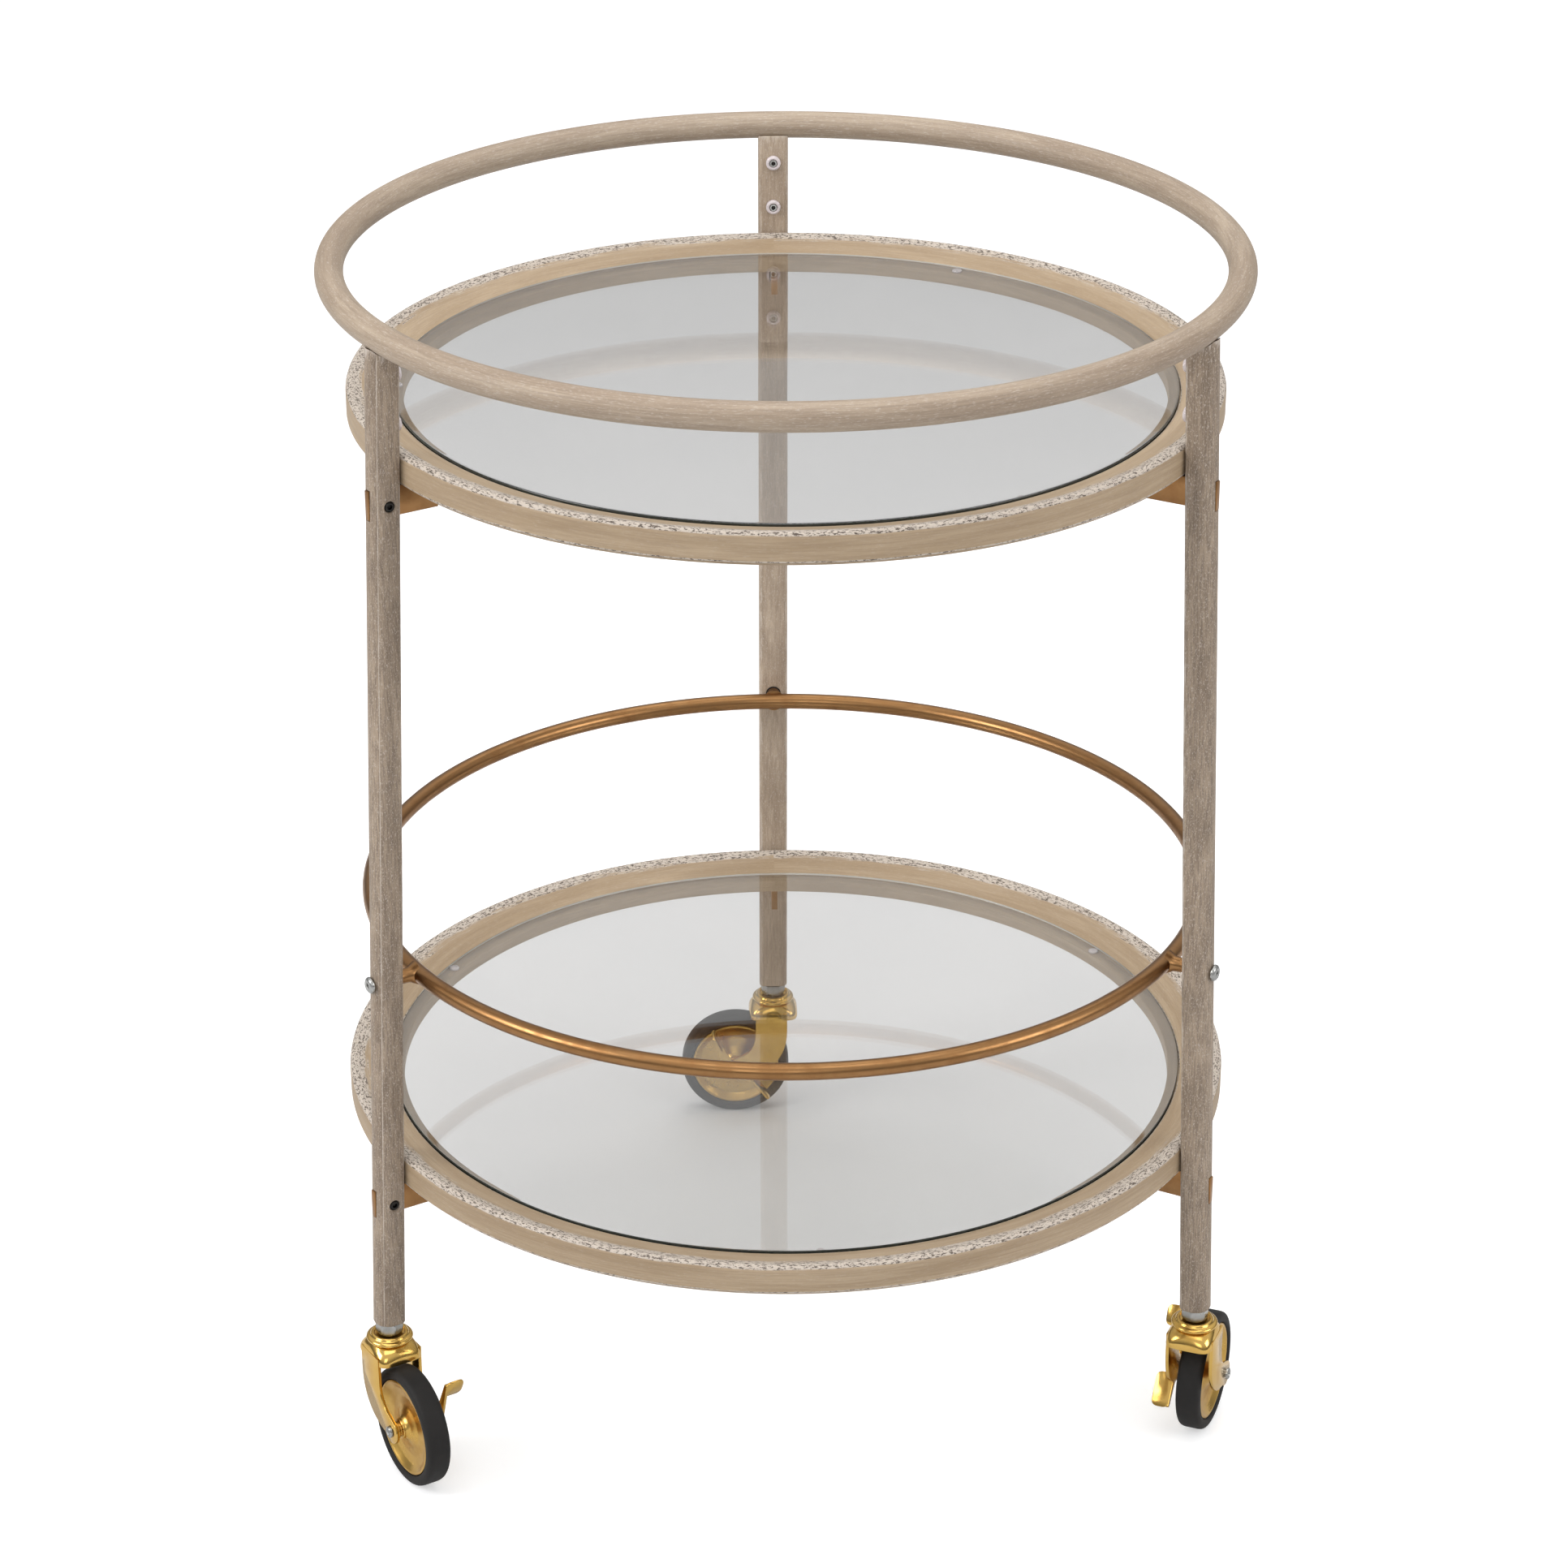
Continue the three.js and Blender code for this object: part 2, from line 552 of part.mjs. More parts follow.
// A flat rocker that turns on the axle, with edges folded outwards: a pedal below the
// axle, and a narrow flange that widens into a leaf above it
function brakeLever() {
  const at = (along, up) => [TRAIL + along, AXLE_HEIGHT + up];
  const rocker = [
    at(-12, -1), at(-27, -21), at(-23, -22), at(-7, -9),
    ...arc(TRAIL, AXLE_HEIGHT, 8, 250, 350, 4),
    at(10.5, 5), at(19.6, 34.6), at(17.3, 37), at(7, 16),
    ...arc(TRAIL, AXLE_HEIGHT, 8, 90, 140, 2),
  ];
  const pedal = [at(-12, -1), at(-27, -21), at(-25.4, -22.2), at(-10.4, -2.2)];
  const flange = [at(7, 16), at(11.4, 25), at(13.2, 24.1), at(8.8, 15.1)];
  const leaf = [at(10.4, 23), at(17.3, 37), at(19.1, 36.1), at(12.2, 22.1)];
  const body = joined(
    plate(rocker, LEVER_FACE, LEVER_OUTSIDE),
    plate(pedal, LEVER_FACE, LEVER_FACE + PEDAL_WIDTH),
    plate(flange, LEVER_FACE, LEVER_FACE + FLANGE_WIDTH),
    plate(leaf, LEVER_FACE, LEVER_FACE + LEAF_WIDTH),
  );
  return cut(body, axleBar(AXLE_RADIUS + HOLE_CLEARANCE, LEVER_FACE - 2, LEVER_OUTSIDE + 2));
}

// ---------------------------------------------------------------- the cart

const shapes = {
  leg: legSolid(),
  galleryBolt: galleryBolt(),
  stem: casterStem(),
  fork: fork(),
  axle: axle(),
  hub: hub(),
  tyre: tyre(),
  lever: brakeLever(),
};

for (const [side, turn] of Object.entries(LEG_TURNS)) {
  const legFrame = frameAt(turn);
  piece(`leg_${side}`, shapes.leg, LIMED_WOOD, legFrame);
  for (const [level, held] of Object.entries(LEVELS)) {
    piece(`${level}_bracket_${side}`, bracket(held), COPPER, legFrame);
    piece(`${level}_lock_screw_${side}`, lockScrew(held), BLACK_STEEL, legFrame);
  }
  piece(`gallery_bolt_${side}`, shapes.galleryBolt, ZINC, legFrame);
  for (const [place, drop] of Object.entries(POST_BOLT_DROPS)) {
    const { bolt, collar } = postBolt(RAIL_HEIGHT - drop);
    piece(`${place}_bolt_${side}`, bolt, ZINC, legFrame);
    piece(`${place}_collar_${side}`, collar, CLEAR_PLASTIC, legFrame);
  }

  const swivel = frameAt(CASTER_TURNS[side] - turn, legFrame, legMiddle(LEG_BOTTOM));
  piece(`caster_stem_${side}`, shapes.stem, ZINC, swivel);
  piece(`caster_fork_${side}`, shapes.fork, BRASS, swivel);
  piece(`caster_axle_${side}`, shapes.axle, ZINC, swivel);
  piece(`wheel_hub_${side}`, shapes.hub, BRASS, swivel);
  piece(`wheel_tyre_${side}`, shapes.tyre, RUBBER, swivel);
  piece(`brake_lever_${side}`, shapes.lever, BRASS, swivel);
}

export default cart;
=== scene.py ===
# %% [markdown]
# # A round bar cart on casters
# The cart is two glass trays in bent wood rims, three leaning legs, a wooden top rail, a
# copper-coloured gallery rod and three brass casters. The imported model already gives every
# piece its place, so this lesson builds the pieces as a maker would see them, with rounded
# edges, sockets and folds, and then gives them their finishes.

# %% Load the frame
import json
import math

import bmesh
import bpy
from mathutils import Matrix, Vector


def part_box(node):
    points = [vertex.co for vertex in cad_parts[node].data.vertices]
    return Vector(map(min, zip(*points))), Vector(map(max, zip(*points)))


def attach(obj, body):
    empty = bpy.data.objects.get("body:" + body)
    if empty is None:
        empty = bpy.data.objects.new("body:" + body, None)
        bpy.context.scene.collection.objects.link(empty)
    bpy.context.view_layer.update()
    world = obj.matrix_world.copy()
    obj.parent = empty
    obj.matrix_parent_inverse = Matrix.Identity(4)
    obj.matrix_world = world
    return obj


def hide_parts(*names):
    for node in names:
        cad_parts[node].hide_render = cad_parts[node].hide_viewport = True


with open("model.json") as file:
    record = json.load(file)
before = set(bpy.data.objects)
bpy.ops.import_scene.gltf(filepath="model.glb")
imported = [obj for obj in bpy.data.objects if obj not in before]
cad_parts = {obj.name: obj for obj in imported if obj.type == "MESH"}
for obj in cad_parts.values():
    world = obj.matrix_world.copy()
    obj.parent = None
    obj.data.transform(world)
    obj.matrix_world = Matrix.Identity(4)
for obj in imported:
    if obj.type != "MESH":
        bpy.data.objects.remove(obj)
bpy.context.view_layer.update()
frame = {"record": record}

bpy.context.scene.view_settings.view_transform = "Standard"

# %% [markdown]
# ## Camera
# The camera stands a little above the rail and looks down at the trays with a long lens. It
# points at the middle of the rings and is turned slightly, so the rear leg sits just left of
# the middle.

# %% Camera
def camera(away, height, pitch, turn, lens):
    """Adds a camera that circles the cart's middle and looks down by pitch"""
    data = bpy.data.cameras.new("camera")
    data.lens, data.sensor_width, data.shift_x = lens, 36, -0.0012
    view = bpy.data.objects.new("camera", data)
    turn = math.radians(turn)
    view.location = (away * math.sin(turn), -away * math.cos(turn), height)
    view.rotation_euler = (math.radians(90 - pitch), 0, turn)
    bpy.context.scene.collection.objects.link(view)
    bpy.context.scene.camera = view
    return view


view = camera(away=2.772, height=1.751, pitch=25.27, turn=-1.8, lens=100.95)
print("camera at", [round(c, 3) for c in view.location])

# %% [markdown]
# ## Tools for node trees
# Shader and geometry trees are built with the same two steps: add a node, then fill its
# sockets with a value or with another node's output. Two small helpers do both, so each
# finish below reads as a list of what it is made of.

# %% Node helpers
def add(tree, kind, settings=None, **sockets):
    """Adds a node. Settings are its own choices; sockets take a value or an output"""
    node = tree.nodes.new(kind)
    for key, value in (settings or {}).items():
        setattr(node, key, value)
    for key, value in sockets.items():
        name = key.replace("_", " ")
        socket = node.inputs[int(key[1:])] if key[0] == "i" and key[1:].isdigit() else node.inputs[name]
        if isinstance(value, bpy.types.NodeSocket):
            tree.links.new(value, socket)
        else:
            socket.default_value = value
    return node


def calc(tree, operation, *values):
    """One Math node"""
    sockets = {f"i{i}": value for i, value in enumerate(values)}
    return add(tree, "ShaderNodeMath", {"operation": operation}, **sockets).outputs[0]


def blend(tree, share, first, second, how="MIX"):
    """Mixes two colours"""
    settings = {"data_type": "RGBA", "blend_type": how, "clamp_factor": True}
    return add(tree, "ShaderNodeMix", settings, i0=share, i6=first, i7=second).outputs[2]


def between(tree, value, low, high, out_low=0.0, out_high=1.0):
    """Stretches a value from one range to another, and clamps it"""
    settings = {"interpolation_type": "SMOOTHSTEP"}
    return add(tree, "ShaderNodeMapRange", settings, Value=value, From_Min=low, From_Max=high,
               To_Min=out_low, To_Max=out_high).outputs[0]


def scaled(tree, vector, scale):
    """Stretches coordinates before they reach a texture"""
    return add(tree, "ShaderNodeVectorMath", {"operation": "MULTIPLY"}, i0=vector, i1=scale).outputs[0]


def noise(tree, vector, scale=1.0, detail=4.0, rough=0.5, distortion=0.0):
    return add(tree, "ShaderNodeTexNoise", None, Vector=vector, Scale=scale, Detail=detail,
               Roughness=rough, Distortion=distortion).outputs[0]


def group(name, inputs, outputs, build):
    """Makes a shader node group. build takes the tree and its inputs, and returns its outputs"""
    tree = bpy.data.node_groups.new(name, "ShaderNodeTree")
    for label, (kind, value) in inputs.items():
        socket = tree.interface.new_socket(label, in_out="INPUT", socket_type=kind)
        if value is not None:
            socket.default_value = value
    for label, kind in outputs.items():
        tree.interface.new_socket(label, in_out="OUTPUT", socket_type=kind)
    given = tree.nodes.new("NodeGroupInput")
    results = build(tree, given.outputs)
    end = tree.nodes.new("NodeGroupOutput")
    for label, value in results.items():
        tree.links.new(value, end.inputs[label])
    print("group:", name, "with", len(tree.nodes), "nodes")
    return tree


def use(tree, shared, **sockets):
    """Places a shared group in a material"""
    return add(tree, "ShaderNodeGroup", {"node_tree": shared}, **sockets).outputs


COLOR, FLOAT, VECTOR = "NodeSocketColor", "NodeSocketFloat", "NodeSocketVector"


def linear(red, green, blue):
    """A paint chart's 0 to 255 colour as the linear colour that a shader takes"""
    parts = [c / 255 for c in (red, green, blue)]
    return [c / 12.92 if c <= 0.04045 else ((c + 0.055) / 1.055) ** 2.4 for c in parts] + [1.0]


# %% [markdown]
# ## Shared effects
# Bent wood shows its grain along the bend, so its pattern needs coordinates that run round
# the ring. The first group turns a place into distance out, height, and distance round. The
# break in that last number is turned to the rear leg, where it is hidden.

# %% Coordinates round a ring
def ring_parts(tree, given):
    split = add(tree, "ShaderNodeSeparateXYZ", None, Vector=given["Place"])
    x, y, z = split.outputs
    out = calc(tree, "SQRT", calc(tree, "ADD", calc(tree, "MULTIPLY", x, x), calc(tree, "MULTIPLY", y, y)))
    turn = calc(tree, "ARCTAN2", x, calc(tree, "MULTIPLY", y, -1.0))
    along = calc(tree, "MULTIPLY", turn, given["Ring Radius"])
    return {"Grain Place": add(tree, "ShaderNodeCombineXYZ", None, X=out, Y=z, Z=along).outputs[0]}


round_ring = group("round_the_ring", {"Place": (VECTOR, None), "Ring Radius": (FLOAT, 0.3)},
                   {"Grain Place": VECTOR}, ring_parts)

# %% [markdown]
# Limed wood is brushed open, filled with a pale paste and wiped. Wide streaks change its
# colour slowly, fine fibres run along it, and the paste stays as short pale flecks in the
# pores. One group makes all three, and its height feeds a bump.

# %% Wood grain
def wood_parts(tree, given):
    place = given["Grain Place"]
    wide = noise(tree, scaled(tree, place, (70, 70, 5)), detail=5, rough=0.6, distortion=0.6)
    fibres = noise(tree, scaled(tree, place, (900, 900, 30)), detail=3, rough=0.65)
    patches = noise(tree, scaled(tree, place, (18, 18, 7)), detail=3)
    flecks = noise(tree, scaled(tree, place, (1500, 1500, 260)), detail=2, rough=0.7)
    tone = blend(tree, between(tree, wide, 0.32, 0.68), given["Deep"], given["Pale"])
    tone = blend(tree, between(tree, patches, 0.35, 0.75, 0.0, 0.35), tone, given["Deep"])
    dark = calc(tree, "MULTIPLY", between(tree, fibres, 0.62, 0.36), given["Fibre"])
    tone = blend(tree, dark, tone, given["Pore"])
    paste = calc(tree, "MULTIPLY", between(tree, flecks, 0.54, 0.68), given["Lime Amount"])
    tone = blend(tree, paste, tone, given["Lime"])
    rough = calc(tree, "ADD", between(tree, fibres, 0.3, 0.7, 0.46, 0.6),
                 calc(tree, "MULTIPLY", paste, 0.2))
    height = calc(tree, "SUBTRACT", fibres, calc(tree, "MULTIPLY", paste, 0.6))
    return {"Color": tone, "Roughness": rough, "Height": height}


wood_grain = group(
    "limed_wood_grain",
    {"Grain Place": (VECTOR, None), "Pale": (COLOR, None), "Deep": (COLOR, None),
     "Pore": (COLOR, None), "Lime": (COLOR, None), "Lime Amount": (FLOAT, 0.5),
     "Fibre": (FLOAT, 0.5)},
    {"Color": COLOR, "Roughness": FLOAT, "Height": FLOAT}, wood_parts)

# %% [markdown]
# Where an edge was rubbed, the paste either sits thick or is gone. Every turned or drawn
# piece below carries an attribute called edge, 1 on its edges and 0 elsewhere, and this
# group breaks that band up along the grain.

# %% Rubbed edges
def edge_parts(tree, given):
    band = add(tree, "ShaderNodeAttribute", {"attribute_name": "edge"}).outputs["Fac"]
    broken = noise(tree, scaled(tree, given["Grain Place"], (300, 300, 22)), detail=5, rough=0.75)
    reach = calc(tree, "ADD", band, calc(tree, "MULTIPLY", calc(tree, "SUBTRACT", broken, 0.5),
                                         given["Raggedness"]))
    return {"Mask": calc(tree, "MULTIPLY", between(tree, reach, 0.35, 0.75), given["Amount"])}


rubbed_edge = group("rubbed_edge", {"Grain Place": (VECTOR, None), "Amount": (FLOAT, 0.8),
                                    "Raggedness": (FLOAT, 1.9)}, {"Mask": FLOAT}, edge_parts)

# %% [markdown]
# Plated metal is never even: hands and cloths leave a film, and the plating follows the
# small waves of the steel under it. This group gives a roughness that varies by place and a
# height for a faint bump.

# %% Handled metal
def handled_parts(tree, given):
    film = noise(tree, given["Place"], scale=given["Film Scale"], detail=4, rough=0.6)
    waves = noise(tree, given["Place"], scale=given["Wave Scale"], detail=1)
    rough = calc(tree, "ADD", given["Smoothest"],
                 calc(tree, "MULTIPLY", between(tree, film, 0.35, 0.75), given["Film"]))
    return {"Roughness": rough, "Film Mask": between(tree, film, 0.4, 0.8), "Height": waves}


handled = group("handled_metal",
                {"Place": (VECTOR, None), "Smoothest": (FLOAT, 0.1), "Film": (FLOAT, 0.12),
                 "Film Scale": (FLOAT, 60.0), "Wave Scale": (FLOAT, 120.0)},
                {"Roughness": FLOAT, "Film Mask": FLOAT, "Height": FLOAT}, handled_parts)

# %% [markdown]
# ## Finishes
# Each finish is one material with its own Principled shader. The place on the object comes
# from Object coordinates, and since every piece keeps its place in its mesh, no pattern
# repeats from leg to leg.

# %% Start of a finish
def finish(name, **own):
    """A new material: returns it, its tree, its shader and its Object coordinates"""
    material = bpy.data.materials.new(name)
    material.use_nodes = True
    tree = material.node_tree
    shader = tree.nodes["Principled BSDF"]
    for key, value in own.items():
        shader.inputs[key.replace("_", " ")].default_value = value
    place = add(tree, "ShaderNodeTexCoord").outputs["Object"]
    return material, tree, shader, place


def bumped(tree, shader, height, distance, strength=1.0):
    bump = add(tree, "ShaderNodeBump", None, Strength=strength, Distance=distance, Height=height)
    tree.links.new(bump.outputs[0], shader.inputs["Normal"])


# %% Woods
def wood_finish(name, ring_radius, pale, deep, pore, lime, lime_amount, fibre, edge_amount, dirt):
    material, tree, shader, place = finish(name, Specular_IOR_Level=0.35)
    if ring_radius:
        place = use(tree, round_ring, Place=place, Ring_Radius=ring_radius)[0]
    else:
        place = scaled(tree, place, (1, 1, 2.4))
    grain = use(tree, wood_grain, Grain_Place=place, Pale=linear(*pale), Deep=linear(*deep),
                Pore=linear(*pore), Lime=linear(*lime), Lime_Amount=lime_amount, Fibre=fibre)
    mask = use(tree, rubbed_edge, Grain_Place=place, Amount=edge_amount)[0]
    colour = blend(tree, mask, grain["Color"], linear(*lime))
    specks = noise(tree, scaled(tree, place, (800, 800, 330)), detail=3, rough=0.8)
    caught = calc(tree, "MULTIPLY", between(tree, specks, 0.5, 0.58), between(tree, mask, 0.1, 0.7))
    colour = blend(tree, calc(tree, "MULTIPLY", caught, dirt), colour, linear(78, 66, 57))
    tree.links.new(colour, shader.inputs["Base Color"])
    tree.links.new(grain["Roughness"], shader.inputs["Roughness"])
    bumped(tree, shader, grain["Height"], 0.00012)
    print("finish:", name)
    return material


leg_wood = wood_finish("leg_wood", 0, (162, 145, 126), (134, 118, 101), (88, 74, 64),
                       (204, 194, 184), 0.5, 0.5, 0.6, 0.0)
# Painted light: the rear leg gets a lighter copy of the leg wood, so its flat side looks more brightly lit.
rear_leg_wood = wood_finish("rear_leg_wood", 0, (186, 168, 148), (160, 142, 123), (118, 101, 88),
                            (216, 206, 196), 0.35, 0.35, 0.4, 0.0)
rim_wood = wood_finish("rim_wood", 0.3, (174, 154, 128), (154, 133, 106), (124, 102, 80),
                       (196, 186, 175), 0.16, 0.28, 0.85, 0.95)
rail_wood = wood_finish("rail_wood", 0.3, (172, 156, 137), (149, 132, 114), (116, 99, 84),
                        (202, 192, 182), 0.36, 0.38, 0.0, 0.0)

# %% Metals
def metal_finish(name, base, filmed, smoothest, film, waves, wave_height, film_scale=60.0, **own):
    material, tree, shader, place = finish(name, Metallic=1.0, **own)
    parts = use(tree, handled, Place=place, Smoothest=smoothest, Film=film, Wave_Scale=waves,
                Film_Scale=film_scale)
    colour = blend(tree, parts["Film Mask"], linear(*base), linear(*filmed))
    tree.links.new(colour, shader.inputs["Base Color"])
    tree.links.new(parts["Roughness"], shader.inputs["Roughness"])
    bumped(tree, shader, parts["Height"], wave_height)
    print("finish:", name)
    return material


bright_brass = metal_finish("bright_brass", (214, 176, 98), (200, 158, 80), 0.14, 0.12, 40.0, 0.00001)
satin_brass = metal_finish("satin_brass", (204, 166, 90), (190, 150, 76), 0.27, 0.12, 40.0, 0.00001)
copper_satin = metal_finish("copper_satin", (150, 112, 73), (136, 98, 61), 0.28, 0.14, 900.0, 0.000008)
zinc_steel = metal_finish("zinc_steel", (168, 168, 165), (146, 147, 146), 0.24, 0.2, 120.0, 0.000004)
black_steel = metal_finish("black_steel", (52, 50, 48), (40, 38, 37), 0.34, 0.2, 600.0, 0.00003)

# %% Rubber and clear plastic
def dull_finish(name, base, marked, rough, scale, **own):
    material, tree, shader, place = finish(name, **own)
    marks = noise(tree, place, scale=scale, detail=5, rough=0.7)
    pits = noise(tree, place, scale=scale * 30, detail=2)
    colour = blend(tree, between(tree, marks, 0.45, 0.75), linear(*base), linear(*marked))
    tree.links.new(colour, shader.inputs["Base Color"])
    tree.links.new(between(tree, marks, 0.3, 0.7, rough, rough + 0.15), shader.inputs["Roughness"])
    bumped(tree, shader, pits, 0.00002)
    print("finish:", name)
    return material


tyre_rubber = dull_finish("tyre_rubber", (27, 25, 24), (41, 38, 36), 0.58, 35.0,
                          Specular_IOR_Level=0.3)
pad_felt = dull_finish("pad_felt", (26, 24, 23), (36, 33, 31), 0.8, 120.0)
clear_plastic = dull_finish("clear_plastic", (238, 228, 229), (226, 215, 217), 0.16, 90.0,
                            Transmission_Weight=0.35, IOR=1.46)

# %% [markdown]
# ## Glass
# The glass is clear, a little grey-green, and lets the lamps through. Real light passes
# almost straight through a flat pane, so for shadow rays the material swaps to a plain
# see-through shader, which keeps the floor below clean. The edge is ground, and its faces
# carry painted shade: a dark green standing in for the look into the pane's whole width,
# which turns to a painted pale reflection towards the back.

# %% Glass
def glass_finish():
    material, tree, shader, place = finish("tray_glass", Transmission_Weight=1.0, IOR=1.72)
    smears = noise(tree, place, scale=9.0, detail=5, rough=0.6)
    tree.links.new(blend(tree, smears, linear(234, 233, 231), linear(228, 228, 227)),
                   shader.inputs["Base Color"])
    tree.links.new(between(tree, smears, 0.5, 0.8, 0.0, 0.03), shader.inputs["Roughness"])
    clear = add(tree, "ShaderNodeBsdfTransparent", None, Color=linear(228, 229, 228))
    lamp = add(tree, "ShaderNodeLightPath").outputs["Is Shadow Ray"]
    both = add(tree, "ShaderNodeMixShader", None, i0=lamp, i1=shader.outputs[0], i2=clear.outputs[0])
    tree.links.new(both.outputs[0], tree.nodes["Material Output"].inputs["Surface"])
    return material


def glass_edge_finish():
    material, tree, shader, place = finish("glass_edge", Coat_Weight=0.6, Coat_Roughness=0.05)
    bands = noise(tree, scaled(tree, place, (14, 14, 900)), detail=2)
    # Painted shade: a dark green for the look into the pane's width at its edge.
    dark = blend(tree, bands, linear(12, 19, 16), linear(26, 38, 33))
    # Painted reflection: the edge colour turns pale towards the back.
    behind = add(tree, "ShaderNodeSeparateXYZ", None, Vector=place).outputs["Y"]
    painted_back_reflection = between(tree, behind, 0.0, 0.2)
    tree.links.new(blend(tree, painted_back_reflection, dark, linear(206, 200, 190)), shader.inputs["Base Color"])
    tree.links.new(between(tree, bands, 0.3, 0.7, 0.15, 0.3), shader.inputs["Roughness"])
    return material


tray_glass, glass_edge = glass_finish(), glass_edge_finish()
print("finish: glass")

# %% [markdown]
# ## Tools for shapes
# Most pieces are skins over rows of points. A turned piece repeats its outline round an
# axis, a plate repeats its outline through its thickness, and a nut is a turned piece whose
# radius follows a hexagon. Corners are eased first, because real edges always catch light.

# %% Outlines
MM = 0.001


def eased(corners, ease, steps=4, closed=True):
    """Rounds the corners of an outline by up to ease"""
    corners = [Vector(c) for c in corners]
    outline = []
    for i, corner in enumerate(corners):
        if not closed and i in (0, len(corners) - 1):
            outline.append(corner)
            continue
        before = corners[i - 1] - corner
        after = corners[(i + 1) % len(corners)] - corner
        reach = min(ease, 0.48 * before.length, 0.48 * after.length)
        start = corner + before.normalized() * reach
        end = corner + after.normalized() * reach
        for step in range(steps + 1):
            t = step / steps
            outline.append(start * (1 - t) ** 2 + corner * 2 * t * (1 - t) + end * t * t)
    return outline


def arc(x, y, radius, start, end, steps):
    """Points of an arc, both ends included, with angles in degrees"""
    turns = [math.radians(start + (end - start) * i / steps) for i in range(steps + 1)]
    return [Vector((x + radius * math.cos(t), y + radius * math.sin(t))) for t in turns]


def inset(outline, by):
    """Moves a closed outline inwards"""
    area = sum(a.x * b.y - a.y * b.x for a, b in zip(outline, outline[1:] + outline[:1]))
    side = 1 if area > 0 else -1
    moved = []
    for i, point in enumerate(outline):
        way = outline[(i + 1) % len(outline)] - outline[i - 1]
        normal = Vector((-way.y, way.x)).normalized() * side
        moved.append(point + normal * by)
    return moved


# %% Skins
def skin(name, rows, ring=False, edges=None, sharp=35):
    """Joins rows of points, each closed round, into one smooth mesh. In millimetres"""
    count = len(rows[0])
    points = [Vector(p) * MM for row in rows for p in row]
    faces = []
    for i in range(len(rows) if ring else len(rows) - 1):
        a, b = i * count, (i + 1) % len(rows) * count
        faces += [(a + j, a + (j + 1) % count, b + (j + 1) % count, b + j) for j in range(count)]
    if not ring:
        faces += [tuple(range(count))[::-1], tuple(range(len(points) - count, len(points)))]
    mesh = bpy.data.meshes.new(name)
    mesh.from_pydata(points, [], faces)
    band = mesh.attributes.new("edge", "FLOAT", "POINT")
    if edges:
        for i, value in enumerate(edges):
            for j in range(count):
                band.data[i * count + j].value = value if isinstance(value, (int, float)) else value[j]
    tidy(mesh, sharp)
    return mesh


def tidy(mesh, sharp=35):
    """Merges doubles, turns the faces outwards and smooths all but sharp edges"""
    work = bmesh.new()
    work.from_mesh(mesh)
    bmesh.ops.remove_doubles(work, verts=work.verts, dist=1e-6)
    bmesh.ops.recalc_face_normals(work, faces=work.faces)
    if work.calc_volume(signed=True) < 0:
        bmesh.ops.reverse_faces(work, faces=work.faces)
    work.to_mesh(mesh)
    work.free()
    mesh.shade_smooth()
    mesh.set_sharp_from_angle(angle=math.radians(sharp))


def turned(name, outline, steps=48, ring=False, edges=None, sharp=35):
    """Repeats an outline of (radius, height) round the Z axis"""
    turns = [2 * math.pi * j / steps for j in range(steps)]
    rows = [[(r * math.cos(t), r * math.sin(t), h) for t in turns] for r, h in outline]
    return skin(name, rows, ring, edges, sharp)


def plate(name, outline, low, high, soft=0.5, sharp=35):
    """A flat outline with rounded edges, from low to high along Z"""
    inner = inset(outline, soft * 0.7)
    rows = [[(p.x, p.y, z) for p in line] for line, z in (
        (inner, low), (inset(outline, soft * 0.2), low + soft * 0.3), (outline, low + soft),
        (outline, high - soft), (inset(outline, soft * 0.2), high - soft * 0.3), (inner, high))]
    return skin(name, rows, sharp=sharp)


def moved(mesh, matrix):
    """A copy of a mesh, put elsewhere"""
    copy = mesh.copy()
    copy.transform(matrix)
    return copy


def combined(name, meshes, solid=True):
    """Joins closed meshes into one skin, with nothing left inside"""
    first, *others = [bpy.data.objects.new(name, mesh) for mesh in meshes]
    for thing in [first, *others]:
        bpy.context.scene.collection.objects.link(thing)
    for other in others:
        join = first.modifiers.new("join", "BOOLEAN")
        join.object, join.operation, join.solver = other, "UNION" if solid else "DIFFERENCE", "EXACT"
    result = evaluated(first)
    for thing in [first, *others]:
        bpy.data.objects.remove(thing)
    tidy(result)
    return result


def evaluated(thing):
    """The mesh that an object's modifiers make"""
    graph = bpy.context.evaluated_depsgraph_get()
    graph.update()
    return bpy.data.meshes.new_from_object(thing.evaluated_get(graph), depsgraph=graph)


# %% Placing a piece
made = []


def place(name, mesh, material, body, slot, *nodes):
    """Puts a finished mesh in the scene as a piece that rides on a body"""
    piece = bpy.data.objects.new(name, mesh)
    mesh.name = name
    bpy.context.scene.collection.objects.link(piece)
    if material:
        mesh.materials.clear()
        mesh.materials.append(material)
    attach(piece, body)
    if nodes:
        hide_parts(*nodes)
    made.append(name)
    return piece


# %% [markdown]
# ## Geometry Nodes
# Two trees cover what follows a rule. One sweeps a round along a circle, for the rail and the
# gallery rod. The other sets copies of a piece round the cart's middle, for the bolts, screws
# and brackets that each leg carries.

# %% Tree for a bent round
def geometry_tree(name, inputs):
    tree = bpy.data.node_groups.new(name, "GeometryNodeTree")
    for label, kind in inputs.items():
        tree.interface.new_socket(label, in_out="INPUT", socket_type=kind)
    tree.interface.new_socket("Geometry", in_out="OUTPUT", socket_type="NodeSocketGeometry")
    return tree, tree.nodes.new("NodeGroupInput").outputs


def ended(tree, shape, material):
    """The last two steps of every tree: real geometry, and its material"""
    real = add(tree, "GeometryNodeRealizeInstances", None, Geometry=shape)
    dressed = add(tree, "GeometryNodeSetMaterial", None, Geometry=real.outputs[0], Material=material)
    end = tree.nodes.new("NodeGroupOutput")
    tree.links.new(dressed.outputs[0], end.inputs[0])
    return tree


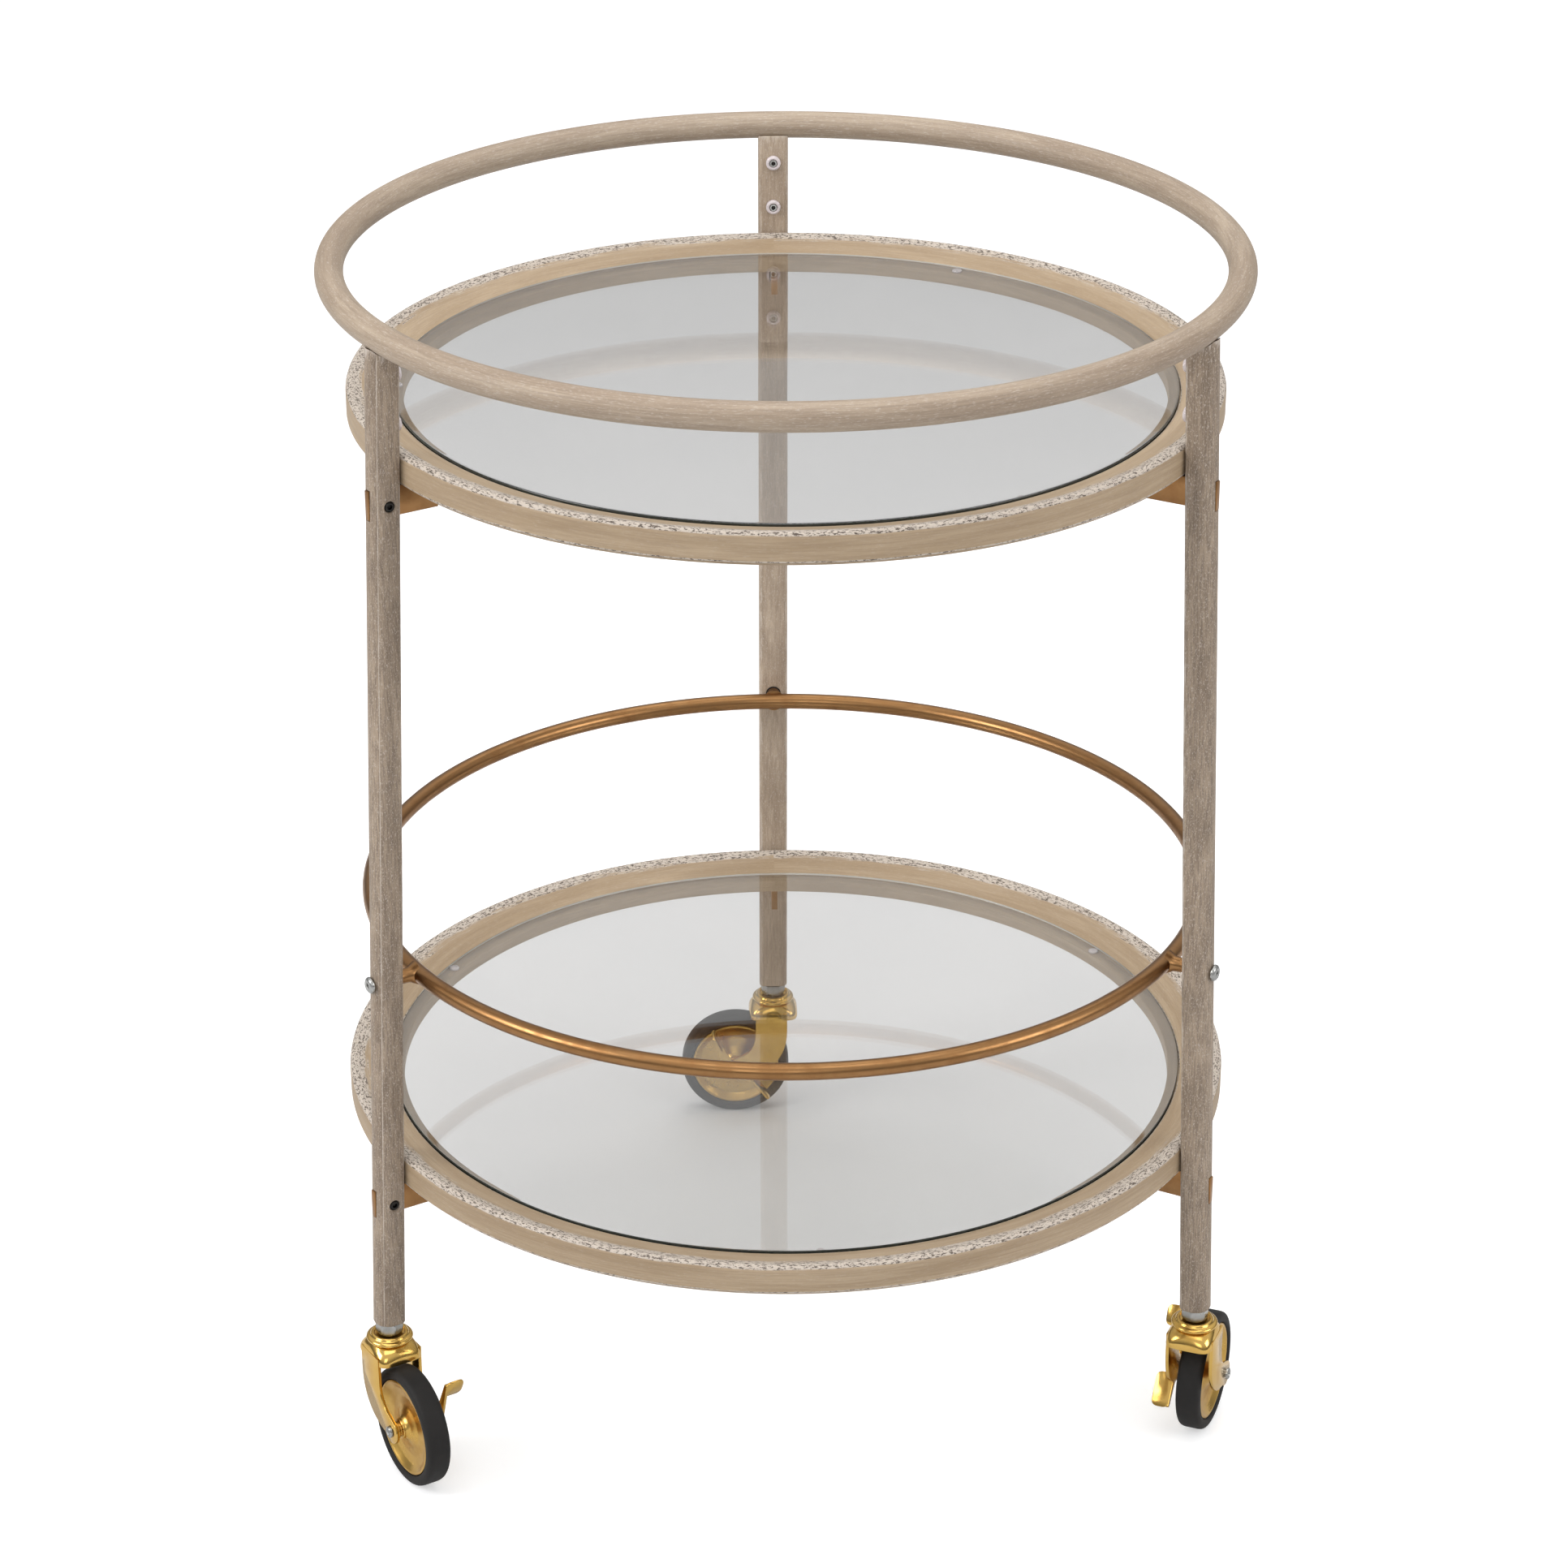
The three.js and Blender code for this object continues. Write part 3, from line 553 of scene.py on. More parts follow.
def bent_round_tree():
    tree, given = geometry_tree("bent_round", {
        "Ring Radius": FLOAT, "Round Radius": FLOAT, "Height": FLOAT, "Steps": "NodeSocketInt",
        "Sides": "NodeSocketInt", "Material": "NodeSocketMaterial"})
    path = add(tree, "GeometryNodeCurvePrimitiveCircle", None, Resolution=given["Steps"],
               Radius=given["Ring Radius"])
    section = add(tree, "GeometryNodeCurvePrimitiveCircle", None, Resolution=given["Sides"],
                  Radius=given["Round Radius"])
    swept = add(tree, "GeometryNodeCurveToMesh", None, Curve=path.outputs[0],
                Profile_Curve=section.outputs[0])
    smooth = add(tree, "GeometryNodeSetShadeSmooth", None, Geometry=swept.outputs[0])
    lift = add(tree, "ShaderNodeCombineXYZ", None, Z=given["Height"])
    raised = add(tree, "GeometryNodeTransform", None, Geometry=smooth.outputs[0],
                 Translation=lift.outputs[0])
    return ended(tree, raised.outputs[0], given["Material"])


# %% Tree for copies round the cart
def copies_tree():
    tree, given = geometry_tree("copies_round_the_cart", {
        "Piece": "NodeSocketObject", "Copies": "NodeSocketInt", "First Turn": FLOAT,
        "Turn Between": FLOAT, "Material": "NodeSocketMaterial"})
    piece = add(tree, "GeometryNodeObjectInfo", None, Object=given["Piece"], As_Instance=True)
    points = add(tree, "GeometryNodePoints", None, Count=given["Copies"])
    index = add(tree, "GeometryNodeInputIndex").outputs[0]
    turn = calc(tree, "MULTIPLY_ADD", index, given["Turn Between"], given["First Turn"])
    angles = add(tree, "ShaderNodeCombineXYZ", None, Z=turn)
    rotation = add(tree, "FunctionNodeEulerToRotation", None, Euler=angles.outputs[0])
    copies = add(tree, "GeometryNodeInstanceOnPoints", None, Points=points.outputs[0],
                 Instance=piece.outputs["Geometry"], Rotation=rotation.outputs[0])
    return ended(tree, copies.outputs[0], given["Material"])


def grown(name, tree, **inputs):
    """Runs a tree on a host object and keeps only the mesh that it makes"""
    host = bpy.data.objects.new(name, bpy.data.meshes.new(name))
    bpy.context.scene.collection.objects.link(host)
    modifier = host.modifiers.new("grow", "NODES")
    modifier.node_group = tree
    for item in tree.interface.items_tree:
        key = item.name.replace(" ", "_")
        if item.in_out == "INPUT" and key in inputs:
            modifier[item.identifier] = inputs[key]
    mesh = evaluated(host)
    bpy.data.objects.remove(host)
    print("grown:", name, len(mesh.polygons), "faces")
    return mesh


bent_round, copies_round = bent_round_tree(), copies_tree()
LEG_TURNS = {"rear": 90, "left": 210, "right": 330}


def on_each_leg(name, mesh, material, first=90.0, copies=3):
    """Copies of a mesh, drawn for a leg that points along +X, on all the legs"""
    pattern = bpy.data.objects.new(name + "_pattern", mesh)
    bpy.context.scene.collection.objects.link(pattern)
    result = grown(name, copies_round, Piece=pattern, Copies=copies,
                   First_Turn=math.radians(first), Turn_Between=math.radians(120),
                   Material=material)
    bpy.data.objects.remove(pattern)
    result.set_sharp_from_angle(angle=math.radians(35))
    return result


# %% [markdown]
# ## Rail and gallery rod
# Both are one bent round, so both come from the same tree. Their sizes are read off the
# boxes of the imported nodes, except the rod's round, which is given: the rail's thickness is
# its box's height, and each ring's radius is half the box's width less half the round.

# %% Rail and gallery rod
def level(node):
    """Outer radius, bottom and top of a round node, in millimetres"""
    low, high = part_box(node)
    return (high[0] - low[0]) / 2 / MM, low[2] / MM, high[2] / MM


rail_outer, rail_low, rail_high = level("top_rail")
rail_round, rail_middle = (rail_high - rail_low) / 2, (rail_high + rail_low) / 2
rail_ring = rail_outer - rail_round
place("rail", grown("rail", bent_round, Ring_Radius=rail_ring * MM, Round_Radius=rail_round * MM,
                    Height=rail_middle * MM, Steps=288, Sides=40, Material=rail_wood),
      rail_wood, "cart", "bent_wood", "top_rail")

rod_outer, rod_low, rod_high = level("gallery_ring")
rod_round, rod_middle = 5.8, (rod_high + rod_low) / 2
rod_ring = rod_outer - rod_round
place("gallery_rod", grown("gallery_rod", bent_round, Ring_Radius=rod_ring * MM,
                           Round_Radius=rod_round * MM, Height=rod_middle * MM, Steps=288,
                           Sides=28, Material=copper_satin),
      copper_satin, "cart", "copper_metal", "gallery_ring")
print("rail ring", round(rail_ring, 1), "rod ring", round(rod_ring, 1))

# %% [markdown]
# ## Rims
# A rim is a bent strip with a rebate for the glass, a bead on its outer top edge and a chamfered
# lower edge. It is turned from one closed outline. The edge attribute is set where the paste
# sits: on the top face just inside the bead, above the chamfer and on the lip beside the glass.

# %% Rims
FACE_WIDTH, FACE_FALL, LEDGE_WIDTH, REBATE = 30.0, 7.7, 8.0, 5.6
CHAMFER, PASTE_INSET = 3, 3.8


def rim(name, node):
    outer, low, high = level(node)
    rebate, opening = outer - FACE_WIDTH, outer - FACE_WIDTH - LEDGE_WIDTH
    lip = high - FACE_FALL
    corners = [(opening, low), (outer - CHAMFER, low), (outer, low + CHAMFER), (outer, low + 4.2),
               (outer, high - 5.2), (outer, high - 3.6), (outer - 0.6, high - 1.7),
               (outer - 1.7, high - 0.6), (outer - 3.6, high), (outer - 5.2, high - 0.4),
               (rebate + 12, lip + 3.4), (rebate + 1.2, lip + 0.3), (rebate, lip),
               (rebate, lip - REBATE), (opening, lip - REBATE)]
    outline = eased(corners, 0.6, steps=3)

    def near(point, x, y, full, none):
        """1 within full of a place on the outline, falling to 0 at none"""
        reach = (point - Vector((x, y))).length
        return max(0.0, min(1.0, (none - reach) / (none - full)))

    edges = [max(near(point, outer - PASTE_INSET, high - 0.6, 3.2, 4.4),
                 near(point, outer, low + CHAMFER, 0.3, 1.2) * 0.8,
                 near(point, rebate, lip, 0.3, 1.2) * 0.8) for point in outline]
    mesh = turned(name, outline, steps=288, ring=True, edges=edges)
    place(name, mesh, rim_wood, "cart", "bent_wood", node)
    return outer, low, high


upper_rim = rim("upper_tray_rim", "upper_rim")
lower_rim = rim("lower_tray_rim", "lower_rim")
print("rims:", upper_rim, lower_rim)

# %% [markdown]
# ## Glasses and their bumpers
# Each pane is a disc with ground, slightly eased edges. Its rim faces take the edge finish,
# which is painted shade in front and a painted pale reflection at the back, so the disc
# carries two materials. The bumpers are low domes of soft clear plastic on the ledge.

# %% Glasses
def pane(name, node):
    radius, low, high = level(node)
    outline = [(0.01, low), (radius * 0.5, low), *eased(
        [(radius - 3, low), (radius, low), (radius, high), (radius - 3, high)], 0.5, 3, closed=False),
        (radius * 0.5, high), (0.01, high)]
    mesh = turned(name, outline, steps=288, sharp=50)
    piece = place(name, mesh, tray_glass, "cart", "clear_glass", node)
    # The edge faces get the painted shade and painted reflection of the edge finish.
    mesh.materials.append(glass_edge)
    for face in mesh.polygons:
        out = Vector((face.normal.x, face.normal.y)).length
        face.material_index = 1 if out > 0.5 else 0
    return piece


pane("upper_pane", "upper_glass")
pane("lower_pane", "lower_glass")


def bumpers(tray, turns):
    for i, turn in enumerate(turns):
        node = f"{tray}_bumper_{i + 1}"
        low, high = [c[2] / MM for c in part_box(node)]
        out = math.hypot(*[(a + b) / 2 / MM for a, b in zip(*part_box(node))][:2])
        outline = eased([(0.01, low), (3.5, low), (3.5, high), (0.01, high)], 0.6, 3, closed=False)
        mesh = moved(turned(node, outline, steps=24), Matrix.Translation((out * MM, 0, 0)))
        mesh.transform(Matrix.Rotation(math.radians(turn), 4, "Z"))
        place(node + "_dome", mesh, clear_plastic, "cart", "clear_plastic", node)


bumpers("upper", (60, 180, 303))
bumpers("lower", (32, 151, 273))

# %% [markdown]
# ## Legs
# A leg is flat on its inner side and half round outside. It leans outwards, so each level of
# its section slides out a little, and its top is scooped to seat the rail. The scoop is
# worked out point by point instead of cut. The slots for the brackets and the recesses for
# the lock screws are cut, and a fine seam runs down the side where two strips were glued.

# %% Leg sizes
LEG_BOTTOM, LEG_TOP, LEG_HALF, LEG_FLAT, LEG_CORNER = 112.0, 821.0, 10.75, 8.3, 3.5
GAP = 0.3
upper_middle = (upper_rim[1] + upper_rim[2]) / 2
lower_middle = (lower_rim[1] + lower_rim[2]) / 2
LEAN = (lower_rim[0] - upper_rim[0]) / (upper_middle - lower_middle)
LEG_CLEARANCE = 0.23
LEG_GAP = LEG_CLEARANCE + abs(LEAN) * (upper_rim[2] - upper_rim[1]) / 2
SEAM_TURN = 44


def leg_inner(height):
    """Distance of a leg's flat side from the cart's middle"""
    return upper_rim[0] + LEG_GAP + (upper_middle - height) * LEAN


def leg_middle(height):
    return leg_inner(height) + LEG_FLAT


def seat(out, side):
    """Height of the scoop under the rail"""
    off = math.hypot(out, side) - rail_ring
    reach = rail_round + GAP
    if abs(off) >= reach:
        return LEG_TOP
    return min(LEG_TOP, rail_middle - math.sqrt(reach * reach - off * off))


print("legs lean by", round(math.degrees(math.atan(LEAN)), 2), "degrees")

# %% Leg shape
def leg_section():
    """The outline, with a fine groove at the seam, and the edge value of each point"""
    turns = [-90 + 180 * i / 60 for i in range(61)]
    points, edges = [], []
    for turn in turns:
        at_seam = abs(turn - SEAM_TURN) < 1.6
        radius = LEG_HALF - (0.22 if at_seam else 0)
        points.append(Vector((radius * math.cos(math.radians(turn)),
                              radius * math.sin(math.radians(turn)))))
        edges.append(1.0 if at_seam else 0.0)
    side = LEG_HALF - LEG_CORNER
    for mirror in (1, -1):
        start, end = (90, 180) if mirror > 0 else (180, 270)
        corner = arc(-LEG_FLAT + LEG_CORNER, mirror * side, LEG_CORNER, start, end, 8)
        points += corner
        edges += [0.5 if 2 < i < 7 else 0.0 for i in range(9)]
    return points, edges


def leg_mesh(name):
    section, band = leg_section()
    rows, edges = [], []
    for shrink, height in ((0.86, LEG_BOTTOM), (0.95, LEG_BOTTOM + 0.4), (1.0, LEG_BOTTOM + 1.6)):
        rows.append([(leg_middle(height) + p.x * shrink, p.y * shrink, height) for p in section])
        edges.append(band)
    for i in range(1, 36):
        height = LEG_BOTTOM + 1.6 + (LEG_TOP - 12 - LEG_BOTTOM) * i / 35
        rows.append([(leg_middle(height) + p.x, p.y, height) for p in section])
        edges.append(band)
    for share in (1.0, 0.97, 0.8, 0.6, 0.4, 0.2, 0.02):
        top = [(leg_middle(LEG_TOP) + p.x * share, p.y * share) for p in section]
        rows.append([(x, y, seat(x, y) - (0.3 if share == 1.0 else 0)) for x, y in top])
        edges.append([0.6 if share > 0.9 else 0.0] * len(section))
    return skin(name, rows, edges=edges)


# %% Brackets, screws and bolts
BRACKET_TALL, BRACKET_THICK, BRACKET_SET_BACK, PROUD = 20.0, 4.5, 9.0, 0.6


def socket_head(name, outline, across, deep, steps=48):
    """A turned head along +Z whose last point is its rim, with a hexagonal socket"""
    rows = []
    turns = [2 * math.pi * j / steps for j in range(steps)]
    for radius, height in outline:
        rows.append([(radius * math.cos(t), radius * math.sin(t), height) for t in turns])
    top = outline[-1][1]
    for size, height in ((across * 1.12, top), (across, top - 0.35), (across, top - deep)):
        row = []
        for t in turns:
            flat = size * math.cos(math.pi / 6) / math.cos((t % (math.pi / 3)) - math.pi / 6)
            row.append((flat * math.cos(t), flat * math.sin(t), height))
        rows.append(row)
    rows.append([(0.3 * x, 0.3 * y, top - deep - 0.5) for x, y, _ in rows[-1]])
    return skin(name, rows, sharp=30)


def socket_shadow_disc(radius, height):
    """A thin dark disc that fills a socket: painted shadow for its deep inside"""
    outline = [(0.01, height - 0.3), (radius, height - 0.3), (radius, height), (0.01, height)]
    return turned("floor", outline, 24)


def outwards(mesh, out, height, way="out"):
    """Turns a head that points along +Z to face out of, into or across a leg"""
    turns = {"out": Matrix.Rotation(math.pi / 2, 4, "Y"), "in": Matrix.Rotation(-math.pi / 2, 4, "Y"),
             "across": Matrix.Rotation(-math.pi / 2, 4, "X")}
    return moved(mesh, Matrix.Translation((out * MM, 0, height * MM)) @ turns[way])


def nodes_on_legs(stem):
    return [f"{stem}_{side}" for side in LEG_TURNS]


cutters = []
for tray, (outer, low, high) in (("upper", upper_rim), ("lower", lower_rim)):
    top = low - GAP
    middle = top - BRACKET_TALL / 2
    inner_end = outer - FACE_WIDTH - LEDGE_WIDTH + BRACKET_SET_BACK
    outer_end = leg_middle(middle) + LEG_HALF + PROUD
    half = BRACKET_THICK / 2
    side_view = eased([(inner_end, top - BRACKET_TALL), (outer_end, top - BRACKET_TALL),
                       (outer_end, top), (inner_end, top)], 0.7, 2)
    bar = plate("bar", side_view, -half, half, soft=0.4)
    bar = moved(bar, Matrix.Rotation(math.pi / 2, 4, "X"))
    place(f"{tray}_brackets", on_each_leg("brackets", bar, copper_satin), copper_satin, "cart",
          "copper_metal", *nodes_on_legs(f"{tray}_bracket"))
    # A thin dark strip lies along each bracket's top, between the rim and the leg.
    strip = plate("strip", eased([(inner_end + 1, -half + 0.2), (leg_inner(top) - 0.5, -half + 0.2),
                                  (leg_inner(top) - 0.5, half - 0.2), (inner_end + 1, half - 0.2)],
                                 0.4, 2), top - 0.02, top + 0.26, soft=0.05)
    place(f"{tray}_bracket_pads", on_each_leg("pads", strip, pad_felt), pad_felt, "cart",
          "black_rubber")
    face = LEG_HALF - 0.4
    screw = socket_head("screw", [(0.5, half + GAP), (3.2, half + GAP), (3.4, half + 0.9), (3.4, face - 1.0),
                                  (3.2, face - 0.35), (2.7, face)], 1.75, 2.2)
    screw = outwards(screw, leg_middle(middle), middle, "across")
    place(f"{tray}_lock_screws", on_each_leg("screws", screw, black_steel), black_steel, "cart",
          "black_steel", *nodes_on_legs(f"{tray}_lock_screw"))
    slack = 0.45
    slot_in, slot_out = leg_inner(middle) - 3, outer_end + 3
    slot_low, slot_high = top - BRACKET_TALL - slack, top + slack
    slot_shape = [(slot_in, slot_low), (slot_out, slot_low), (slot_out, slot_high), (slot_in, slot_high)]
    slot_tool = plate("slot", [Vector(p) for p in slot_shape], -half - slack, half + slack, soft=0.05)
    cutters.append(moved(slot_tool, Matrix.Rotation(math.pi / 2, 4, "X")))
    recess = turned("recess", [(0.01, 0), (3.7, 0), (3.7, LEG_HALF - 1.1), (5.0, LEG_HALF + 0.6),
                               (5.0, 14), (0.01, 14)])
    cutters.append(outwards(recess, leg_middle(middle), middle, "across"))

cut_leg = combined("leg", [leg_mesh("leg"), *cutters], solid=False)
for side, turn in LEG_TURNS.items():
    mesh = moved(cut_leg, Matrix.Rotation(math.radians(turn), 4, "Z"))
    mesh.set_sharp_from_angle(angle=math.radians(35))
    # The rear leg takes the lighter copy of the wood, with its painted light.
    wood = rear_leg_wood if side == "rear" else leg_wood
    place(f"{side}_leg", mesh, wood, "cart", "limed_wood", f"leg_{side}")
print("leg:", len(cut_leg.polygons), "faces")

# %% Gallery bolts and standoffs
HEAD_TALL, HEAD_RADIUS = 3.0, 5.75
bolt_face = leg_middle(rod_middle) + LEG_HALF + GAP + HEAD_RADIUS * LEAN
head = socket_head("bolt", [(0.5, -24), (3.0, -24), (3.0, 0), (5.6, 0), (HEAD_RADIUS, 0.4),
                            (HEAD_RADIUS, 1.2), (5.1, 2.3), (4.0, HEAD_TALL), (3.4, HEAD_TALL)], 2.1, 2.2)
head = outwards(head, bolt_face, rod_middle)
# Painted shadow: a dark disc deep in each bolt's hexagonal socket.
shadow_disc = outwards(socket_shadow_disc(1.9, HEAD_TALL - 0.8), bolt_face, rod_middle)
place("gallery_socket_floors", on_each_leg("floors", shadow_disc, black_steel), black_steel,
      "cart", "black_steel")
place("gallery_bolts", on_each_leg("gallery_bolts", head, zinc_steel), zinc_steel, "cart",
      "zinc_steel", *nodes_on_legs("gallery_bolt"))

far = leg_inner(rod_middle) - GAP - 5 * LEAN
post = turned("standoff", [(0.01, rod_ring - far), (8.2, rod_ring - far + 1.5), (6.6, rod_ring - far + 4.6),
                           (5.2, rod_ring - far + 7.0), (5.0, -1.6), (5.0, -1.2), (4.6, -0.4),
                           (4.2, 0), (0.01, 0)])
post = outwards(post, far, rod_middle)
place("gallery_standoffs", on_each_leg("standoffs", post, copper_satin), copper_satin, "cart",
      "copper_metal")
washer = turned("washer", eased([(3.4, 0.02), (5.6, 0.02), (5.6, 0.28), (3.4, 0.28)], 0.05, 1), ring=True)
washer = outwards(washer, far, rod_middle)
place("gallery_washers", on_each_leg("washers", washer, pad_felt), pad_felt, "cart", "black_rubber")

# %% Bolts and collars on the flat side
COLLAR_TALL, COLLAR_RADIUS, COLLAR_FLOOR = 3.4, 5.25, 1.0
for row, drop in (("high", 25.5), ("low", 59.0)):
    height = rail_middle - drop
    face = leg_inner(height) - GAP - COLLAR_RADIUS * LEAN
    collar = turned("collar", eased([(2.8, 0), (COLLAR_RADIUS, 0), (COLLAR_RADIUS, COLLAR_TALL - 0.9),
                                     (COLLAR_RADIUS - 0.9, COLLAR_TALL), (3.1, COLLAR_TALL),
                                     (3.1, COLLAR_FLOOR), (2.7, COLLAR_FLOOR)], 0.35, 3), ring=True)
    collar = outwards(collar, face, height, "in")
    place(f"{row}_collars", on_each_leg("collars", collar, clear_plastic), clear_plastic, "cart",
          "clear_plastic", *nodes_on_legs(f"{row}_collar"))
    bolt = socket_head("bolt", [(0.5, -13.5), (2.5, -13.5), (2.5, COLLAR_FLOOR + GAP),
                                (2.7, COLLAR_FLOOR + GAP), (2.8, COLLAR_FLOOR + 0.6),
                                (2.8, COLLAR_TALL - 0.7), (2.4, COLLAR_TALL - 0.3)], 1.5, 1.8)
    bolt = outwards(bolt, face, height, "in")
    place(f"{row}_bolts", on_each_leg("bolts", bolt, zinc_steel), zinc_steel, "cart", "zinc_steel",
          *nodes_on_legs(f"{row}_bolt"))
    # Painted shadow: a dark disc deep in each bolt's socket.
    shadow_disc = outwards(socket_shadow_disc(1.45, COLLAR_TALL - 0.9), face, height, "in")
    place(f"{row}_socket_floors", on_each_leg("floors", shadow_disc, black_steel), black_steel,
          "cart", "black_steel")

# %% [markdown]
# ## Casters
# A caster is drawn once, in a frame of its own: the swivel is upright at the start, the trail
# runs along +X and the axle along Y. Then each piece is put at the three legs. The places
# come from the joints, so a wheel always turns about its real axle.

# %% Caster frames
joints = {joint["name"]: joint for joint in frame["record"]["behaviour"]["joints"]}


def caster_frame(side):
    pivot = Vector(joints[f"swivel_{side}"]["pos_m"])
    axle = Vector(joints[f"spin_{side}"]["pos_m"])
    trail = axle - pivot
    return (Matrix.Translation((pivot.x, pivot.y, 0))
            @ Matrix.Rotation(math.atan2(trail.y, trail.x), 4, "Z"))


frames = {side: caster_frame(side) for side in LEG_TURNS}
TRAIL, AXLE_HEIGHT, FORK_HALF, FORK_PLATE = 30.0, 42.5, 17.0, 2.5
ON_AXLE = Matrix.Translation((TRAIL * MM, 0, AXLE_HEIGHT * MM)) @ Matrix.Rotation(-math.pi / 2, 4, "X")
UPRIGHT = Matrix.Rotation(math.pi / 2, 4, "X")


def on_casters(stem, mesh, material, body, slot, node=None):
    """Puts a piece on all the casters. body and node are the starts of their names"""
    for side, matrix in frames.items():
        nodes = [f"{node}_{side}"] if node else []
        rides = f"{body}_{side}" if body != "cart" else body
        put = moved(mesh, matrix)
        put.set_sharp_from_angle(angle=math.radians(35))
        place(f"{stem}_{side}", put, material, rides, slot, *nodes)


# %% Nut and swivel cap
def hexagon(radius, turn):
    return radius * math.cos(math.pi / 6) / math.cos((turn % (math.pi / 3)) - math.pi / 6)


def nut_mesh():
    turns = [2 * math.pi * j / 72 for j in range(72)]
    rows = []
    levels = ((103.6, 8.2), (104.0, 8.9), (104.6, 9.6), (111.0, 9.6), (111.5, 9.0), (111.75, 8.2))
    for height, limit in levels:
        reach = [min(limit, hexagon(9.5, t)) for t in turns]
        rows.append([(r * math.cos(t), r * math.sin(t), height) for r, t in zip(reach, turns)])
    return skin("nut", rows, sharp=25)


on_casters("stem_nut", nut_mesh(), zinc_steel, "cart", "zinc_steel", "caster_stem")
cap = turned("cap", eased([(4.2, 98.1), (15.2, 98.1), (16.2, 99.0), (16.2, 100.2), (15.2, 101.2),
                           (13.6, 101.6), (12.8, 103.0), (11.8, 103.6), (10.6, 103.2), (10.2, 102.2),
                           (4.2, 102.0)], 0.7, 4), steps=72, ring=True)
on_casters("swivel_cap", cap, bright_brass, "cart", "bright_brass")

# %% Fork
def crown():
    """A pressed cap: rows are rounded rectangles, outside from the top and then inside"""
    sizes = ((2, 2, 2, 97.7), (13.2, 13.2, 2, 97.7), (14.0, 14.0, 2.1, 97.2), (14.8, 14.5, 2.2, 96.5),
             (16.3, 15.3, 2.6, 95.3), (17.6, 16.1, 3.1, 93.6), (18.6, 16.7, 3.7, 91.6),
             (19.1, 17.0, 4.4, 89.4), (19.3, 17.0, 5.0, 87.2), (19.1, 16.9, 5.0, 86.0),
             (18.3, 16.0, 5.0, 85.8), (17.6, 14.9, 5.0, 86.2), (17.0, 14.5, 4.6, 90.0),
             (14.5, 13.0, 3.0, 93.0), (8, 8, 2, 93.4), (1, 1, 2, 93.4))
    rows = []
    for long, wide, power, height in sizes:
        row = []
        for j in range(96):
            t = 2 * math.pi * j / 96
            c, s = math.cos(t), math.sin(t)
            reach = (abs(c / long) ** power + abs(s / wide) ** power) ** (-1 / power)
            row.append((reach * c, reach * s, height))
        rows.append(row)
    return skin("crown", rows, sharp=40)


def fork_outline():
    foot = arc(TRAIL, AXLE_HEIGHT, 9.0, 215, 420, 24)
    lead = [(-11, 92), (-11, 72), (-9.5, 62), (-4.6, 51), (4, 43), (14, 39)]
    trailing = [(29, 53), (22, 55.5), (16.5, 61), (14.2, 69), (14, 78), (14, 92)]
    curve = eased(lead, 8, 5, closed=False) + foot + eased(trailing, 7, 5, closed=False)
    return curve


side_plate = plate("side", fork_outline(), -FORK_PLATE / 2, FORK_PLATE / 2, soft=0.45)
plates = [moved(side_plate, Matrix.Translation((0, s * (FORK_HALF - FORK_PLATE / 2) * MM, 0)) @ UPRIGHT)
          for s in (1, -1)]
fork = combined("fork", [crown(), *plates])
on_casters("fork_pressing", fork, bright_brass, "fork", "bright_brass", "caster_fork")
print("fork:", len(fork.polygons), "faces")

# %% Wheel
hub_side = [(3.3, 13.8), (6.2, 13.8), (6.6, 12.6), (5.4, 12.0), (5.4, 11.0), (7.2, 10.4), (7.4, 8.4),
            (9.5, 6.2), (15.5, 3.6), (22.0, 3.0), (28.0, 4.2), (31.6, 6.8), (32.8, 7.8),
            (34.3, 7.6), (34.4, 6.6)]
hub_outline = hub_side + [(r, -h) for r, h in reversed(hub_side)]
hub = moved(turned("hub", eased(hub_outline, 1.1, 4), steps=96, ring=True, sharp=50), ON_AXLE)
on_casters("hub_disc", hub, satin_brass, "wheel", "bright_brass", "wheel_hub")
tyre_outline = eased([(34.8, -7.6), (36.2, -8.9), (39.6, -8.9), (41.9, -7.4), (42.5, -5.0), (42.5, 5.0),
                      (41.9, 7.4), (39.6, 8.9), (36.2, 8.9), (34.8, 7.6)], 1.4, 4)
tyre = moved(turned("tyre", tyre_outline, steps=128, ring=True, sharp=60), ON_AXLE)
on_casters("tyre_ring", tyre, tyre_rubber, "wheel", "black_rubber", "wheel_tyre")
axle_outline = [(0.4, -18.2), (2.2, -18.4), (2.6, -19.1), (3.4, -19.2), (4.1, -18.6), (4.2, -17.4),
                (3.0, -17.3), (3.0, 19.5), (4.2, 19.7), (4.1, 20.8), (3.4, 21.4), (2.6, 21.3),
                (2.2, 20.6), (0.4, 20.4)]
axle = moved(turned("axle", axle_outline, steps=40), ON_AXLE)
on_casters("axle_rivet", axle, zinc_steel, "fork", "zinc_steel", "caster_axle")

# %% Brake lever
def folded(start, end, near, far, thick, round_off):
    """A fold that stands out along Y from a line in the rocker's plane"""
    start, end = Vector(start), Vector(end)
    along = (end - start).normalized()
    length = (end - start).length
    outline = eased([(0, near), (length, near), (length, far), (0, far)], round_off, 6)
    flat = plate("fold", outline, 0, thick, soft=0.5)
    across = Vector((along.y, -along.x))
    matrix = Matrix(((along.x, 0, across.x, (TRAIL + start.x) * MM),
                     (0, 1, 0, 0), (along.y, 0, across.y, (AXLE_HEIGHT + start.y) * MM), (0, 0, 0, 1)))
    return moved(flat, matrix)


